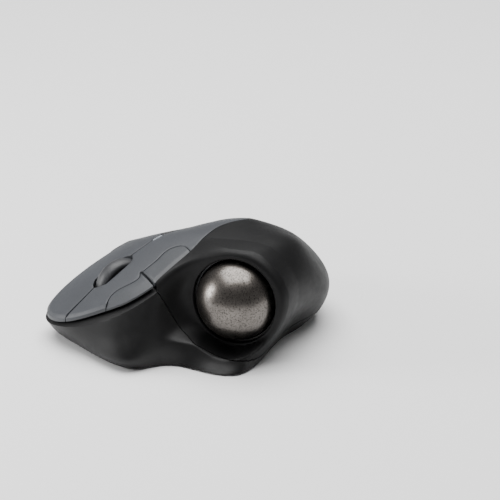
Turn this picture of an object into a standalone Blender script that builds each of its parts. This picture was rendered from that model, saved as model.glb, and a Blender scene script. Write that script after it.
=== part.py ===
"""Thumb trackball mouse: a right-handed pointing device with a 34 mm ball, two keys,
two side buttons, a tilting scroll wheel, and one AA cell under a hinged door.

Sizes are in millimetres and are turned into metres where a mesh is made.
The nose points along -Y, the thumb side is +X, and the feet stand on Z = 0.
"""
import math

import bpy
import bmesh
import numpy as np
from mathutils import Matrix, Vector
from mathutils.bvhtree import BVHTree
from mathutils.geometry import delaunay_2d_cdt

MM = 0.001

# overall sizes
BODY_LENGTH = 121.4
BODY_WIDTH = 93.7
CROWN_RISE = 5.0            # top of the body above the top of the ball

# shell
WALL = 2.0
FLOOR_BOTTOM = 1.0
FLOOR_THICKNESS = 2.0
SEAM_GAP = 0.3
SPLIT_GAP = 0.45            # gap around each key and button
KEY_THICKNESS = 2.2
KEY_UNDER_GAP = 1.4         # room for a key to travel above the deck
DECK_THICKNESS = 1.8
FIT = 0.3                   # clearance between pieces that rest on each other

# ball
BALL_RADIUS = 17.0
BALL_CLEARANCE = 0.7
LIP_GAP = 1.6
OPENING_OFFSET = 4.0        # ball centre to the plane of the opening
OPENING_AZIMUTH = math.radians(39.0)
OPENING_TILT = math.radians(5.0)
CUP_WALL = 1.3
SUPPORT_RADIUS = 1.25
EJECT_RADIUS = 5.0

# wheel
WHEEL_RADIUS = 12.3
WHEEL_WIDTH = 7.0
TYRE_DEPTH = 2.2
AXLE_RADIUS = 1.4
WHEEL_RISE = 3.0            # how far the wheel stands out of the keys
WHEEL_SKEW = math.radians(7.3)
TILT_ANGLE = math.radians(3.5)

# AA cell
CELL_RADIUS = 7.25
CELL_LENGTH = 49.2
CELL_TIP_RADIUS = 2.7
CELL_TIP = 1.3

# stowed receiver
PLUG_SIZE = (12.0, 4.5, 12.2)
DONGLE_SIZE = (14.6, 6.4, 6.4)

FOOT_THICKNESS = 1.3
FOOT_RECESS = 0.6
BOARD_THICKNESS = 1.2
SWITCH_SIZE = (6.4, 12.8, 6.5)
SCREW_RADIUS = 1.3

SX = BODY_WIDTH / 93.7
SY = BODY_LENGTH / 121.4
BALL_CENTRE = np.array((27.0 * SX, 3.2 * SY, BALL_RADIUS + 9.0))
BODY_HEIGHT = BALL_CENTRE[2] + BALL_RADIUS + CROWN_RISE
SZ = BODY_HEIGHT / 48.0
POD = BALL_RADIUS / 17.0
FLOOR_TOP = FLOOR_BOTTOM + FLOOR_THICKNESS
DECK_DEPTH = KEY_THICKNESS + KEY_UNDER_GAP


# ---------------------------------------------------------------- body form

def curve_through(knots):
    """Places, heights and bends of a smooth curve through its knots."""
    place = np.array([k[0] for k in knots], float)
    height = np.array([k[1] for k in knots], float)
    count = len(place)
    step = np.diff(place)
    matrix = np.eye(count)
    right = np.zeros(count)
    for i in range(1, count - 1):
        matrix[i, i - 1] = step[i - 1]
        matrix[i, i] = 2 * (step[i - 1] + step[i])
        matrix[i, i + 1] = step[i]
        right[i] = 6 * ((height[i + 1] - height[i]) / step[i] - (height[i] - height[i - 1]) / step[i - 1])
    return place, height, np.linalg.solve(matrix, right)


def read_curve(curve, where):
    place, height, bend = curve
    where = np.clip(where, place[0], place[-1])
    i = np.clip(np.searchsorted(place, where) - 1, 0, len(place) - 2)
    step = place[i + 1] - place[i]
    t = where - place[i]
    slope = (height[i + 1] - height[i]) / step - step * (2 * bend[i] + bend[i + 1]) / 6
    return height[i] + t * slope + t * t * bend[i] / 2 + t ** 3 * (bend[i + 1] - bend[i]) / (6 * step)


# height of the crown along the body, nose to tail
CROWN = curve_through([(y * SY, z * SZ) for y, z in (
    (-72, 4.0), (-64, 10.5), (-57, 15.8), (-43, 25.3), (-22.5, 36.6), (-7, 43.6), (5, 46.6),
    (18, 48.0), (28, 46.9), (37, 44.0), (45, 39.2), (52, 33.0), (60, 23.0), (70, 9.0))])


def top_height(x, y):
    """Height of the top surface, highest over the thumb side and falling to the little finger."""
    x = np.asarray(x, float) / SX
    y = np.asarray(y, float)
    along = y / SY
    ridge = np.interp(along, (-60, -20, 5, 60), (-12, -4, 4, 4))
    fall = np.interp(along, (-60, -15, 15, 60), (0.0055, 0.0062, 0.0115, 0.0115))
    return read_curve(CROWN, y) - SZ * (0.0016 * np.maximum(0, x - ridge) ** 2
                                   + fall * np.maximum(0, ridge - x) ** 2)


def at(x, y, z=None):
    """A point of the body form, scaled with the body."""
    return (x * SX, y * SY) if z is None else (x * SX, y * SY, z * SZ)


def pod(dx, dy, dz):
    """A point of the housing, placed from the ball."""
    return tuple(BALL_CENTRE + POD * np.array((dx, dy, dz)))


def stations():
    """Sections around the body: top edge, shoulder, middle, low wall and foot line."""
    return (
        (at(-32.0, -57.8), at(-32.6, -58.8, 10.0), at(-33, -57.5, 7), at(-31.5, -55, 3), at(-29, -52)),
        (at(-14, -57.8), at(-13.6, -58.7, 13), at(-13, -57.8, 9.5), at(-11, -55, 4), at(-8, -51.5)),
        (at(1.5, -45.7), at(2.8, -46.6, 21), at(7.5, -48.5, 13.5), at(12.5, -49.3, 5.2), at(11, -46.5)),
        (at(8, -37), at(9.4, -37.6, 26), at(14.5, -40.5, 16.5), at(20.5, -42, 5.8), at(19, -39.5)),
        (at(10.4, -27), at(12, -27.6, 31.5), at(16, -29.8, 21), at(20.5, -32, 8), at(20.5, -31)),
        (at(12, -16), pod(-8.5, -14, 12.5), pod(-11.5, -16, 1), at(23.8, -21.1, 8.8), at(25.5, -23)),
        (at(21, 3), pod(2.5, -3.2, 18.8), pod(5, -6.5, 0), at(33.6, -11.8, 5.6), at(36.5, -16)),
        (at(27, 10.5), pod(12.5, 4.5, 14.5), pod(18, 5, 1), at(42.8, -1.4, 5.6), at(44, -4)),
        (at(26, 20), pod(11, 16, 12.5), pod(16.5, 15.5, 1), at(37.8, 13.4, 6.8), at(34.5, 13)),
        (at(22, 32), at(30.5, 35.5, 35), at(33.5, 36.5, 24), at(27.5, 31.5, 9), at(24, 28)),
        (at(14, 42), at(19.5, 48.5, 29.5), at(23, 51.5, 21), at(20.5, 48.5, 8), at(16.5, 43.5)),
        (at(-2, 47), at(-0.5, 56.5, 28), at(1, 61, 18.5), at(0, 60, 8), at(-2, 54)),
        (at(-18, 42), at(-24, 50.5, 25), at(-27, 54, 16.5), at(-27, 53.5, 8), at(-25, 48.5)),
        (at(-31, 26), at(-39, 31, 25), at(-43.5, 33.5, 17), at(-44, 33, 8), at(-40, 30)),
        (at(-36, 6), at(-43.5, 7, 26), at(-47, 7.5, 17), at(-47, 7, 8), at(-43, 6.5)),
        (at(-39.5, -18), at(-44, -18, 24.5), at(-46, -18, 16.5), at(-45.5, -17.5, 8), at(-41.5, -17)),
        (at(-38.6, -42), at(-40.8, -42.6, 17.5), at(-42.5, -41.5, 12), at(-42, -40, 6), at(-39, -37.5)),
    )


STATIONS = stations()
STATION_COUNT = len(STATIONS)
MIDDLE = np.array(at(-4, 2))
COLUMNS = 3 * STATION_COUNT


def rail_at(level, where):
    """Points of one rail at station numbers, on a closed smooth curve through its stations."""
    points = np.array([s[level] for s in STATIONS], float)
    count = STATION_COUNT
    matrix = np.zeros((count, count))
    for i in range(count):
        matrix[i, i] = 4 / 6
        matrix[i, (i + 1) % count] = 1 / 6
        matrix[i, i - 1] = 1 / 6
    control = np.linalg.solve(matrix, points)
    where = np.asarray(where, float) % count
    base = np.floor(where).astype(int)
    t = (where - base)[:, None]

    def near(k):
        return control[(base + k) % count]

    return ((1 - t) ** 3 * near(-1) + (3 * t ** 3 - 6 * t ** 2 + 4) * near(0)
            + (-3 * t ** 3 + 3 * t ** 2 + 3 * t + 1) * near(1) + t ** 3 * near(2)) / 6


def grown(outline, gap):
    """A closed anticlockwise plan outline moved outwards by a gap, with its corners kept square."""
    before = outline - np.roll(outline, 1, axis=0)
    after = np.roll(outline, -1, axis=0) - outline
    before = before / np.linalg.norm(before, axis=1)[:, None]
    after = after / np.linalg.norm(after, axis=1)[:, None]
    first = np.c_[before[:, 1], -before[:, 0]]
    second = np.c_[after[:, 1], -after[:, 0]]
    middle = first + second
    middle /= np.linalg.norm(middle, axis=1)[:, None]
    reach = gap / np.maximum((middle * first).sum(1), 0.3)
    return outline + middle * reach[:, None]


def smooth_step(t):
    t = np.clip(t, 0, 1)
    return t * t * (3 - 2 * t)


def opening_axis():
    flat = math.cos(OPENING_TILT)
    return np.array((math.sin(OPENING_AZIMUTH) * flat, -math.cos(OPENING_AZIMUTH) * flat,
                     math.sin(OPENING_TILT)))


OPENING = opening_axis()
OPENING_CENTRE = BALL_CENTRE + OPENING * OPENING_OFFSET * POD
CHIN_FADE = 3.4
LIP_RADIUS = math.sqrt(BALL_RADIUS ** 2 - (OPENING_OFFSET * POD) ** 2) + LIP_GAP


def flatten_opening(points, low_reach):
    """Draw the housing onto the plane of the ball opening, fading out around it.

    The fade is wide above and beside the ball and ends after low_reach below it.
    """
    offset = points - OPENING_CENTRE
    height = offset @ OPENING
    flat = offset - height[..., None] * OPENING
    radius = np.linalg.norm(flat, axis=-1)
    down = smooth_step((-flat[..., 2] / np.maximum(radius, 0.001) - 0.45) / 0.4)
    fade = 12.0 * POD + (low_reach - 12.0 * POD) * down
    weight = (1 - smooth_step((radius - LIP_RADIUS - 0.8) / fade)) * (height > -0.82 * BALL_RADIUS)
    return points - (weight * height)[..., None] * OPENING


def smooth_profile(rails, steps):
    """Rows between the rails, on a centripetal curve through them in every column."""
    rails = np.concatenate([2 * rails[:1] - rails[1:2], rails, 2 * rails[-1:] - rails[-2:-1]])

    def span(a, b):
        return np.maximum(np.linalg.norm(b - a, axis=1), 1e-6) ** 0.5

    def mix(a, b, ta, tb, t):
        return a * ((tb - t) / (tb - ta))[:, None] + b * ((t - ta) / (tb - ta))[:, None]

    rows = []
    for s in range(1, len(rails) - 2):
        p0, p1, p2, p3 = rails[s - 1:s + 3]
        t0 = np.zeros(rails.shape[1])
        t1 = t0 + span(p0, p1)
        t2 = t1 + span(p1, p2)
        t3 = t2 + span(p2, p3)
        for j in range(steps[s - 1]):
            part = j / steps[s - 1]
            if s == 4:
                part = 1 - (1 - part) ** 1.7
            t = t1 + (t2 - t1) * part
            a1 = mix(p0, p1, t0, t1, t)
            a2 = mix(p1, p2, t1, t2, t)
            a3 = mix(p2, p3, t2, t3, t)
            rows.append(mix(mix(a1, a2, t0, t2, t), mix(a2, a3, t1, t3, t), t1, t2, t))
    rows.append(rails[-2])
    return np.array(rows)


def inward(points, amount):
    """A closed plan curve moved inwards."""
    along = np.roll(points, -1, axis=0) - np.roll(points, 1, axis=0)
    normal = np.c_[-along[:, 1], along[:, 0]]
    normal /= np.linalg.norm(normal, axis=1)[:, None]
    return points + normal * amount


def even_places(columns):
    return np.arange(columns) / columns * STATION_COUNT


def body_rows(where, wall, foot_height, under_keys, fine=1):
    """Rows of the body's skin at station numbers, from crown to foot line, moved inwards by wall."""
    edge, shoulder, middle, low, foot = [rail_at(k, where) for k in range(5)]
    edge = inward(edge, wall)
    foot = inward(foot, wall)

    def shrink(rail, drop):
        return np.c_[inward(rail[:, :2], wall), rail[:, 2] - drop]

    def cap(plan):
        depth = wall + under_keys * smooth_step(1.0 - key_distance(plan) / 3.0)
        return np.c_[plan, top_height(plan[:, 0], plan[:, 1]) - depth]

    near_edge = 0.96
    rows = [cap(MIDDLE + (edge - MIDDLE) * near_edge * j / (5 * fine)) for j in range(1, 5 * fine)]
    rim = cap(edge)
    shoulder = shrink(shoulder, 0.6 * wall)
    shoulder[:, 2] = np.minimum(shoulder[:, 2], rim[:, 2] - 0.4)
    walls = smooth_profile(np.array([
        cap(MIDDLE + (edge - MIDDLE) * near_edge), rim, shoulder, shrink(middle, 0),
        np.c_[inward(low[:, :2], wall), np.maximum(low[:, 2], foot_height + 1.2)],
        np.c_[foot, np.full(len(where), foot_height)]]), [n * fine for n in (1, 2, 3, 5, 2)])
    skin = np.concatenate([np.array(rows), walls])
    low_reach = 12.0 if wall else CHIN_FADE
    skin = flatten_opening(skin + OPENING * wall, low_reach * POD) - OPENING * wall
    skin[-1, :, 2] = foot_height
    return skin


# ---------------------------------------------------------------- key outline

def smooth_line(points, spacing):
    """An open smooth curve through plan points, at about the given spacing."""
    points = np.array(points, float)
    ends = np.concatenate([2 * points[:1] - points[1:2], points, 2 * points[-1:] - points[-2:-1]])
    out = []
    for i in range(1, len(ends) - 2):
        steps = max(1, round(np.linalg.norm(ends[i + 1] - ends[i]) / spacing))
        for j in range(steps):
            t = j / steps
            out.append(0.5 * (2 * ends[i] + (ends[i + 1] - ends[i - 1]) * t
                              + (2 * ends[i - 1] - 5 * ends[i] + 4 * ends[i + 1] - ends[i + 2]) * t * t
                              + (3 * ends[i] - ends[i - 1] - 3 * ends[i + 1] + ends[i + 2]) * t ** 3))
    out.append(points[-1])
    return np.array(out)


FRONT_FIRST = -1.75         # station where the keys' outer edge leaves the rim, little-finger side
FRONT_LAST = 4.0            # station where it leaves the rim, thumb side


def panel_outline(spacing=3.5):
    """Plan outline of the grey keys and tongue, anticlockwise from the little-finger side."""
    front = rail_at(0, np.linspace(FRONT_FIRST, FRONT_LAST, 26))
    thumb = smooth_line([front[-1], at(9.0, -17.5), at(7.6, -8.0), at(2.6, 1.5), at(-1.4, 10.0),
                         at(-2.6, 18.0), at(-3.4, 24.0), at(-6.5, 28.5)], spacing)
    little = smooth_line([at(-6.5, 28.5), at(-12.0, 28.0), at(-20.0, 20.0), at(-29.0, 6.0),
                          at(-36.0, -8.0), front[0]], spacing)
    return np.concatenate([front, thumb[1:], little[1:-1]])


def nearest_distance(plan, outline):
    """Signed distance from plan points to a closed outline, negative inside."""
    plan = np.atleast_2d(plan)
    start = outline
    end = np.roll(outline, -1, axis=0)
    edge = end - start
    offset = plan[:, None, :] - start[None]
    t = np.clip((offset * edge).sum(2) / (edge ** 2).sum(1), 0, 1)
    gap = np.linalg.norm(offset - t[..., None] * edge, axis=2).min(1)
    above = (start[None, :, 1] > plan[:, None, 1]) != (end[None, :, 1] > plan[:, None, 1])
    rise = np.where(edge[:, 1] == 0, 1e-9, edge[:, 1])
    crossing = start[:, 0] + (plan[:, None, 1] - start[:, 1]) * edge[:, 0] / rise
    inside = (above & (plan[:, None, 0] < crossing)).sum(1) % 2 == 1
    return np.where(inside, -gap, gap)


PANEL = panel_outline()


def key_distance(plan):
    return nearest_distance(plan, PANEL)


# ---------------------------------------------------------------- making meshes

def clear_scene():
    for item in list(bpy.data.objects):
        bpy.data.objects.remove(item, do_unlink=True)


def material(name, colour, roughness, metallic=0.0):
    made = bpy.data.materials.get(name)
    if made:
        return made
    made = bpy.data.materials.new(name)
    made.use_nodes = True
    shader = made.node_tree.nodes["Principled BSDF"]
    shader.inputs["Base Color"].default_value = (*colour, 1.0)
    shader.inputs["Roughness"].default_value = roughness
    shader.inputs["Metallic"].default_value = metallic
    return made


def slate():
    return material("slate_key", (0.15, 0.16, 0.175), 0.55)


def black():
    return material("black_shell", (0.018, 0.018, 0.019), 0.5)


def dark():
    return material("dark_plastic", (0.03, 0.03, 0.032), 0.6)


def rubber():
    return material("rubber", (0.035, 0.037, 0.04), 0.75)


def steel():
    return material("steel", (0.6, 0.6, 0.6), 0.3, 1.0)


def green():
    return material("board", (0.03, 0.16, 0.07), 0.5)


def add(name, points, faces, finish, cutter=False):
    """A named object from points in millimetres."""
    mesh = bpy.data.meshes.new(name)
    mesh.from_pydata([tuple(float(c) * MM for c in p) for p in points], [], faces)
    shape = bmesh.new()
    shape.from_mesh(mesh)
    bmesh.ops.recalc_face_normals(shape, faces=shape.faces)
    shape.to_mesh(mesh)
    shape.free()
    made = bpy.data.objects.new(name, mesh)
    bpy.context.collection.objects.link(made)
    mesh.materials.append(finish)
    if cutter:
        made.hide_render = True
        made.display_type = "WIRE"
    return made


def combine(made, other, how):
    step = made.modifiers.new(how.lower(), "BOOLEAN")
    step.operation = how
    step.solver = "EXACT"
    step.object = other
    other.hide_render = True
    other.display_type = "WIRE"
    return made


def cut(made, *others):
    for other in others:
        combine(made, other, "DIFFERENCE")
    return made


def merge(made, *others):
    for other in others:
        combine(made, other, "UNION")
    return made


def round_edges(made):
    made.data.shade_smooth()
    made.data.set_sharp_from_angle(angle=math.radians(35))
    return made


def rod_data(start, end, radius, sides=24, end_radius=None):
    """Points and faces of a round bar between two points."""
    start = np.array(start, float)
    end = np.array(end, float)
    along = (end - start) / np.linalg.norm(end - start)
    across = np.cross(along, (0, 0, 1) if abs(along[2]) < 0.9 else (1, 0, 0))
    across /= np.linalg.norm(across)
    up = np.cross(along, across)
    turn = np.arange(sides) / sides * math.tau
    ring = np.cos(turn)[:, None] * across + np.sin(turn)[:, None] * up
    far = radius if end_radius is None else end_radius
    points = np.concatenate([start + ring * radius, end + ring * far])
    faces = [(i, (i + 1) % sides, sides + (i + 1) % sides, sides + i) for i in range(sides)]
    faces += [tuple(range(sides)), tuple(range(2 * sides - 1, sides - 1, -1))]
    return points, faces


def block_data(centre, size, basis=None):
    """Points and faces of a block, turned to three basis directions when given."""
    centre = np.array(centre, float)
    basis = np.eye(3) if basis is None else basis
    corners = [(x, y, z) for z in (-0.5, 0.5) for y in (-0.5, 0.5) for x in (-0.5, 0.5)]
    points = [centre + (np.array(c) * size) @ basis for c in corners]
    faces = [(0, 2, 3, 1), (4, 5, 7, 6), (0, 1, 5, 4), (2, 6, 7, 3), (0, 4, 6, 2), (1, 3, 7, 5)]
    return points, faces


def joined(pieces):
    """Several separate shapes as one list of points and faces."""
    points = []
    faces = []
    for piece_points, piece_faces in pieces:
        shift = len(points)
        points += [tuple(p) for p in piece_points]
        faces += [tuple(i + shift for i in face) for face in piece_faces]
    return points, faces


def turned_data(profile, centre, axis, sides):
    """A closed profile of (radius, height) points turned about an axis; radius 0 closes a pole."""
    centre = np.array(centre, float)
    axis = np.array(axis, float)
    across = np.cross(axis, (0, 0, 1) if abs(axis[2]) < 0.9 else (1, 0, 0))
    across /= np.linalg.norm(across)
    up = np.cross(axis, across)
    turn = np.arange(sides) / sides * math.tau
    ring = np.cos(turn)[:, None] * across + np.sin(turn)[:, None] * up
    points = []
    rows = []
    for radius, height in profile:
        if radius == 0:
            rows.append([len(points)] * sides)
            points.append(centre + axis * height)
        else:
            rows.append([len(points) + i for i in range(sides)])
            points += list(centre + axis * height + ring * radius)
    faces = []
    closed = profile[0][0] != 0
    pairs = list(zip(rows, rows[1:])) + ([(rows[-1], rows[0])] if closed else [])
    for low, high in pairs:
        for i in range(sides):
            j = (i + 1) % sides
            face = []
            for index in (low[i], low[j], high[j], high[i]):
                if index not in face:
                    face.append(index)
            if len(face) > 2:
                faces.append(tuple(face))
    return points, faces


def rounded_plan(centre, length, width, angle=0.0, steps=8):
    """Plan outline of a bar with round ends."""
    radius = width / 2
    reach = length / 2 - radius
    along = np.array((math.cos(angle), math.sin(angle)))
    across = np.array((-along[1], along[0]))
    points = []
    for side in (1, -1):
        for i in range(steps + 1):
            turn = -math.pi / 2 + math.pi * i / steps
            points.append(np.array(centre) + side * (along * (reach + radius * math.cos(turn))
                                                     + across * radius * math.sin(turn)))
    return np.array(points)


def prism_data(outline, low, high):
    count = len(outline)
    points = [(p[0], p[1], low) for p in outline] + [(p[0], p[1], high) for p in outline]
    faces = [(i, (i + 1) % count, count + (i + 1) % count, count + i) for i in range(count)]
    faces += [tuple(range(count - 1, -1, -1)), tuple(range(count, 2 * count))]
    return points, faces


def plate_data(outline, above, below, spacing=7.0):
    """A closed plate that follows the top surface between two offsets from it."""
    outline = np.array(outline)
    low = outline.min(0)
    high = outline.max(0)
    xs = np.arange(low[0] + spacing / 2, high[0], spacing)
    ys = np.arange(low[1] + spacing / 2, high[1], spacing)
    grid = np.array([(x, y) for x in xs for y in ys])
    if len(grid):
        grid = grid[nearest_distance(grid, outline) < -0.4 * spacing]
    plan = [Vector(p) for p in outline] + [Vector(p) for p in grid]
    edges = [(i, (i + 1) % len(outline)) for i in range(len(outline))]
    verts, _, tris, _, _, _ = delaunay_2d_cdt(plan, edges, [tuple(range(len(outline)))], 1, 1e-5)
    flat = np.array([tuple(v) for v in verts])
    height = top_height(flat[:, 0], flat[:, 1])
    count = len(flat)
    points = list(np.c_[flat, height + above]) + list(np.c_[flat, height + below])
    faces = [tuple(t) for t in tris] + [tuple(i + count for i in reversed(t)) for t in tris]
    used = {}
    for tri in tris:
        for a, b in zip(tri, list(tri[1:]) + [tri[0]]):
            used[(a, b)] = used.get((a, b), 0) + 1
    for a, b in list(used):
        if (b, a) not in used:
            faces.append((b, a, a + count, b + count))
    return points, faces


def grid_solid(rows, centre_top, centre_bottom):
    """A closed body from rings of points, with a fan at each end."""
    count = rows.shape[1]
    points = [tuple(p) for row in rows for p in row] + [tuple(centre_top), tuple(centre_bottom)]
    top = len(points) - 2
    bottom = top + 1
    faces = [(top, i, (i + 1) % count) for i in range(count)]
    for r in range(len(rows) - 1):
        for i in range(count):
            j = (i + 1) % count
            faces.append((r * count + i, (r + 1) * count + i, (r + 1) * count + j, r * count + j))
    last = (len(rows) - 1) * count
    faces += [(bottom, last + (i + 1) % count, last + i) for i in range(count)]
    return points, faces


# ---------------------------------------------------------------- shells

def body_block(name, wall, foot_height, under_keys, columns=COLUMNS):
    rows = body_rows(even_places(columns), wall, foot_height, under_keys)
    depth = wall + under_keys
    crown = (*MIDDLE, float(top_height(*MIDDLE)) - depth)
    return add(name, *grid_solid(rows, crown, (*MIDDLE, foot_height)), black(), cutter=True)


SEAM_START = 4.06           # station where the seam leaves the keys on the thumb side
SEAM_END = 15.2             # station where it meets them again


# height of the seam round the body, by station
SEAM = curve_through([(where, z * SZ) for where, z in (
    (4.0, 32.6), (4.15, 27.3), (4.3, 22.8), (4.47, 18.5), (4.68, 14.4), (5.0, 11.5), (5.48, 8.6),
    (5.92, 6.2), (6.4, 5.3), (7.0, 5.1), (7.6, 4.5), (8.3, 4.9), (9.3, 6.6), (11.0, 8.7),
    (13.0, 9.4), (14.0, 10.2), (14.6, 12.6), (15.0, 17.4), (15.3, 24.0))])


def seam_curve(where):
    """Points of the seam on the skin, with the skin's outward direction at each."""
    rows = body_rows(where, 0.0, FLOOR_BOTTOM, 0.0, 6)
    height = read_curve(SEAM, where)
    along = np.gradient(rows, axis=1)
    down = np.gradient(rows, axis=0)
    points = []
    outward = []
    for i in range(len(where)):
        column = rows[:, i]
        r = int(np.argmax(column[:, 2] < height[i]))
        t = (height[i] - column[r - 1, 2]) / (column[r, 2] - column[r - 1, 2])
        points.append(column[r - 1] * (1 - t) + column[r] * t)
        across = np.cross(down[r, i], along[r, i])
        outward.append(across / np.linalg.norm(across))
    return np.array(points), np.array(outward)


def seam_block(name, gap, inset):
    """Everything below the seam: the base's share of the body, widened by a gap for the top's cut."""
    slide = gap / 11.0
    before = np.concatenate([np.arange(0, 4.0, 0.25), (4.0 + slide, 4.03 + slide)])
    after = np.concatenate([(15.23 - slide, 15.26 - slide), np.arange(15.5, STATION_COUNT, 0.25)])
    open_places = np.concatenate([np.arange(SEAM_START, 5.6, 0.11), np.arange(5.6, 8.6, 0.2),
                                  np.arange(8.6, 14.2, 0.37), np.arange(14.3, SEAM_END, 0.1)])
    guide = np.concatenate([[SEAM_START - 0.1], open_places, [SEAM_END]])
    points, outward = seam_curve(guide)
    along = np.gradient(points, axis=0)
    upward = np.cross(outward, along)
    upward /= np.linalg.norm(upward, axis=1)[:, None]
    points = (points + upward * gap)[1:]
    for _ in range(4):
        padded = np.concatenate([outward[:1], outward, outward[-1:]])
        outward = padded[1:-1] + 0.5 * padded[:-2] + 0.5 * padded[2:]
        outward /= np.linalg.norm(outward, axis=1)[:, None]
    outward = outward[1:]
    inner = points - outward * (WALL + 0.5) + np.array((0, 0, gap))
    ledge = top_height(inner[:, 0], inner[:, 1]) - DECK_DEPTH - DECK_THICKNESS + 0.3 + gap
    inner[:, 2] = np.minimum(np.maximum(inner[:, 2], FLOOR_TOP + 0.5 + gap), ledge)
    outer = points + outward * 8.0

    def rim_rows(where):
        edge = inward(rail_at(0, even_places(240)), inset)
        step = inward(rail_at(0, even_places(240)), inset - 0.05)
        index = np.asarray(where) / STATION_COUNT * 240

        def pick(curve):
            plan = [np.interp(index, np.arange(241), np.append(curve[:, k], curve[0, k])) for k in (0, 1)]
            return np.array(plan).T

        edge = pick(edge)
        low = top_height(edge[:, 0], edge[:, 1]) - DECK_DEPTH - DECK_THICKNESS + 0.3 + gap
        return np.c_[edge, low], np.c_[pick(step), np.full(len(edge), BODY_HEIGHT + 20.0)]

    first_inner, first_outer = rim_rows(before)
    last_inner, last_outer = rim_rows(after)
    inner = np.concatenate([first_inner, inner, last_inner])
    outer = np.concatenate([first_outer, outer, last_outer])
    far = np.c_[MIDDLE + (outer[:, :2] - MIDDLE) * 2.4, outer[:, 2]]
    rows = np.array([inner, outer, far, np.c_[far[:, :2], np.full(len(far), -20.0)]])
    return add(name, *grid_solid(rows, (*MIDDLE, 12.0 * SZ + gap), (*MIDDLE, -20.0)), black(), cutter=True)


def recess_block(name):
    """The space that the keys sit in, open past the rim at the front."""
    front = rail_at(0, np.linspace(FRONT_FIRST, FRONT_LAST, 26))
    middle = front.mean(0)
    spread = np.interp(np.linspace(0, 1, 26), (0, 0.04, 0.96, 1), (SPLIT_GAP, 5, 5, 1.2))
    away = front - middle
    away /= np.linalg.norm(away, axis=1)[:, None]
    widened = grown(PANEL, SPLIT_GAP)
    outline = np.concatenate([front + away * spread[:, None], widened[len(front):]])
    return add(name, *plate_data(outline, 12.0, -DECK_DEPTH), black(), cutter=True)


def ball_bore(name):
    """The ball's clearance and the round opening in front of it."""
    centre = BALL_CENTRE
    radius = BALL_RADIUS + BALL_CLEARANCE
    reach = math.acos(1.0 / radius)
    arc = [(radius * math.sin(a), -radius * math.cos(a)) for a in np.linspace(0, math.pi - reach, 11)]
    low = math.sqrt(max(radius ** 2 - LIP_RADIUS ** 2, 0.0)) if radius > LIP_RADIUS else 0.0
    profile = [(0, -radius)] + [p for p in arc[1:] if p[1] < low - 0.5]
    profile += [(LIP_RADIUS, low), (LIP_RADIUS, BALL_RADIUS + 12.0), (0, BALL_RADIUS + 12.0)]
    return add(name, *turned_data(profile, centre, OPENING, 36), black(), cutter=True)


BOSSES = tuple(np.array(at(*p)) for p in ((-31.3, -45.6), (-6.5, -45.4), (-28, 41), (8, 41)))
BOSS_SPLIT = 12.0
BOSS_RADIUS = 3.0
POST_RADIUS = 1.6


def wheel_frame():
    """Wheel centre and its directions: axle, fore-and-aft along the slope, and outward."""
    axle = np.array((math.cos(WHEEL_SKEW), math.sin(WHEEL_SKEW), 0.0))
    level = np.array((-math.sin(WHEEL_SKEW), math.cos(WHEEL_SKEW), 0.0))
    spot = np.array(at(-16.4, -33.2))
    ahead = spot + level[:2] * 4
    behind = spot - level[:2] * 4
    slope = (top_height(*ahead) - top_height(*behind)) / 8
    fore = level + np.array((0, 0, float(slope)))
    fore /= np.linalg.norm(fore)
    out = np.cross(axle, fore)
    surface = np.array((*spot, float(top_height(*spot))))
    centre = surface + out * (WHEEL_RISE - WHEEL_RADIUS)
    return centre, np.array((axle, fore, out))


WHEEL_CENTRE, WHEEL_BASIS = wheel_frame()
WHEEL_SIDE = WHEEL_RADIUS * math.sin(TILT_ANGLE) + 0.45


def slot_block(name, depth, point):
    """The opening that the wheel stands in, with pointed ends, long enough at a given depth."""
    half_width = WHEEL_WIDTH / 2 + WHEEL_SIDE
    below = WHEEL_RADIUS - WHEEL_RISE - depth * abs(WHEEL_BASIS[2][2])
    half_length = math.sqrt(WHEEL_RADIUS ** 2 - below ** 2) + 0.9
    taper = half_width * 0.55
    local = [(0, -half_length - point), (taper, -half_length), (half_width, -half_length + 2.5),
             (half_width, half_length - 2.5), (taper, half_length), (0, half_length + point),
             (-taper, half_length), (-half_width, half_length - 2.5),
             (-half_width, -half_length + 2.5), (-taper, -half_length)]
    surface = WHEEL_CENTRE + WHEEL_BASIS[2] * (WHEEL_RADIUS - WHEEL_RISE)
    points = [surface + WHEEL_BASIS[0] * x + WHEEL_BASIS[1] * y + WHEEL_BASIS[2] * level
              for level in (-9.0, 6.0) for x, y in local]
    count = len(local)
    faces = [(i, (i + 1) % count, count + (i + 1) % count, count + i) for i in range(count)]
    faces += [tuple(range(count - 1, -1, -1)), tuple(range(count, 2 * count))]
    return add(name, points, faces, black(), cutter=True)


SWITCH_SPOTS = {
    "left_switch": at(-4.2, -33), "right_switch": at(-27.0, -34.5), "forward_switch": at(4.6, -33.5),
    "back_switch": at(4.6, -15.5),
}
BOARD_LOW = FLOOR_TOP + 1.3
BOARD_TOP = BOARD_LOW + BOARD_THICKNESS
SWITCH_TOP = BOARD_TOP + FIT + SWITCH_SIZE[2]
BUTTON_BOARD_CENTRE = np.array(at(-19.5, -1.2))
BUTTON_BOARD_SIZE = (15.0, 15.0)
BUTTON_BOARD_TOP = 30.5 * SZ
SPEED_SPOT = np.array(at(-21.0, -3.4))
LIGHT_SPOT = np.array(at(-18.9, -10.3))


def column(spot, low, high, radius, sides=12):
    return rod_data((spot[0], spot[1], low), (spot[0], spot[1], high), radius, sides)


def deck_bottom(spot):
    return float(top_height(*spot)) - DECK_DEPTH - DECK_THICKNESS


def screw_end(index):
    """Height that a shell screw reaches inside its boss."""
    reach = BOSS_SPLIT + 6.5
    return min(reach, deck_bottom(BOSSES[index]) - 1.2) if index < 2 else reach


def skin_tree():
    rows = body_rows(even_places(120), 0.0, FLOOR_BOTTOM, 0.0)
    points, faces = grid_solid(rows, (*MIDDLE, float(top_height(*MIDDLE))), (*MIDDLE, FLOOR_BOTTOM))
    return BVHTree.FromPolygons([tuple(p) for p in points], faces)


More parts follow.
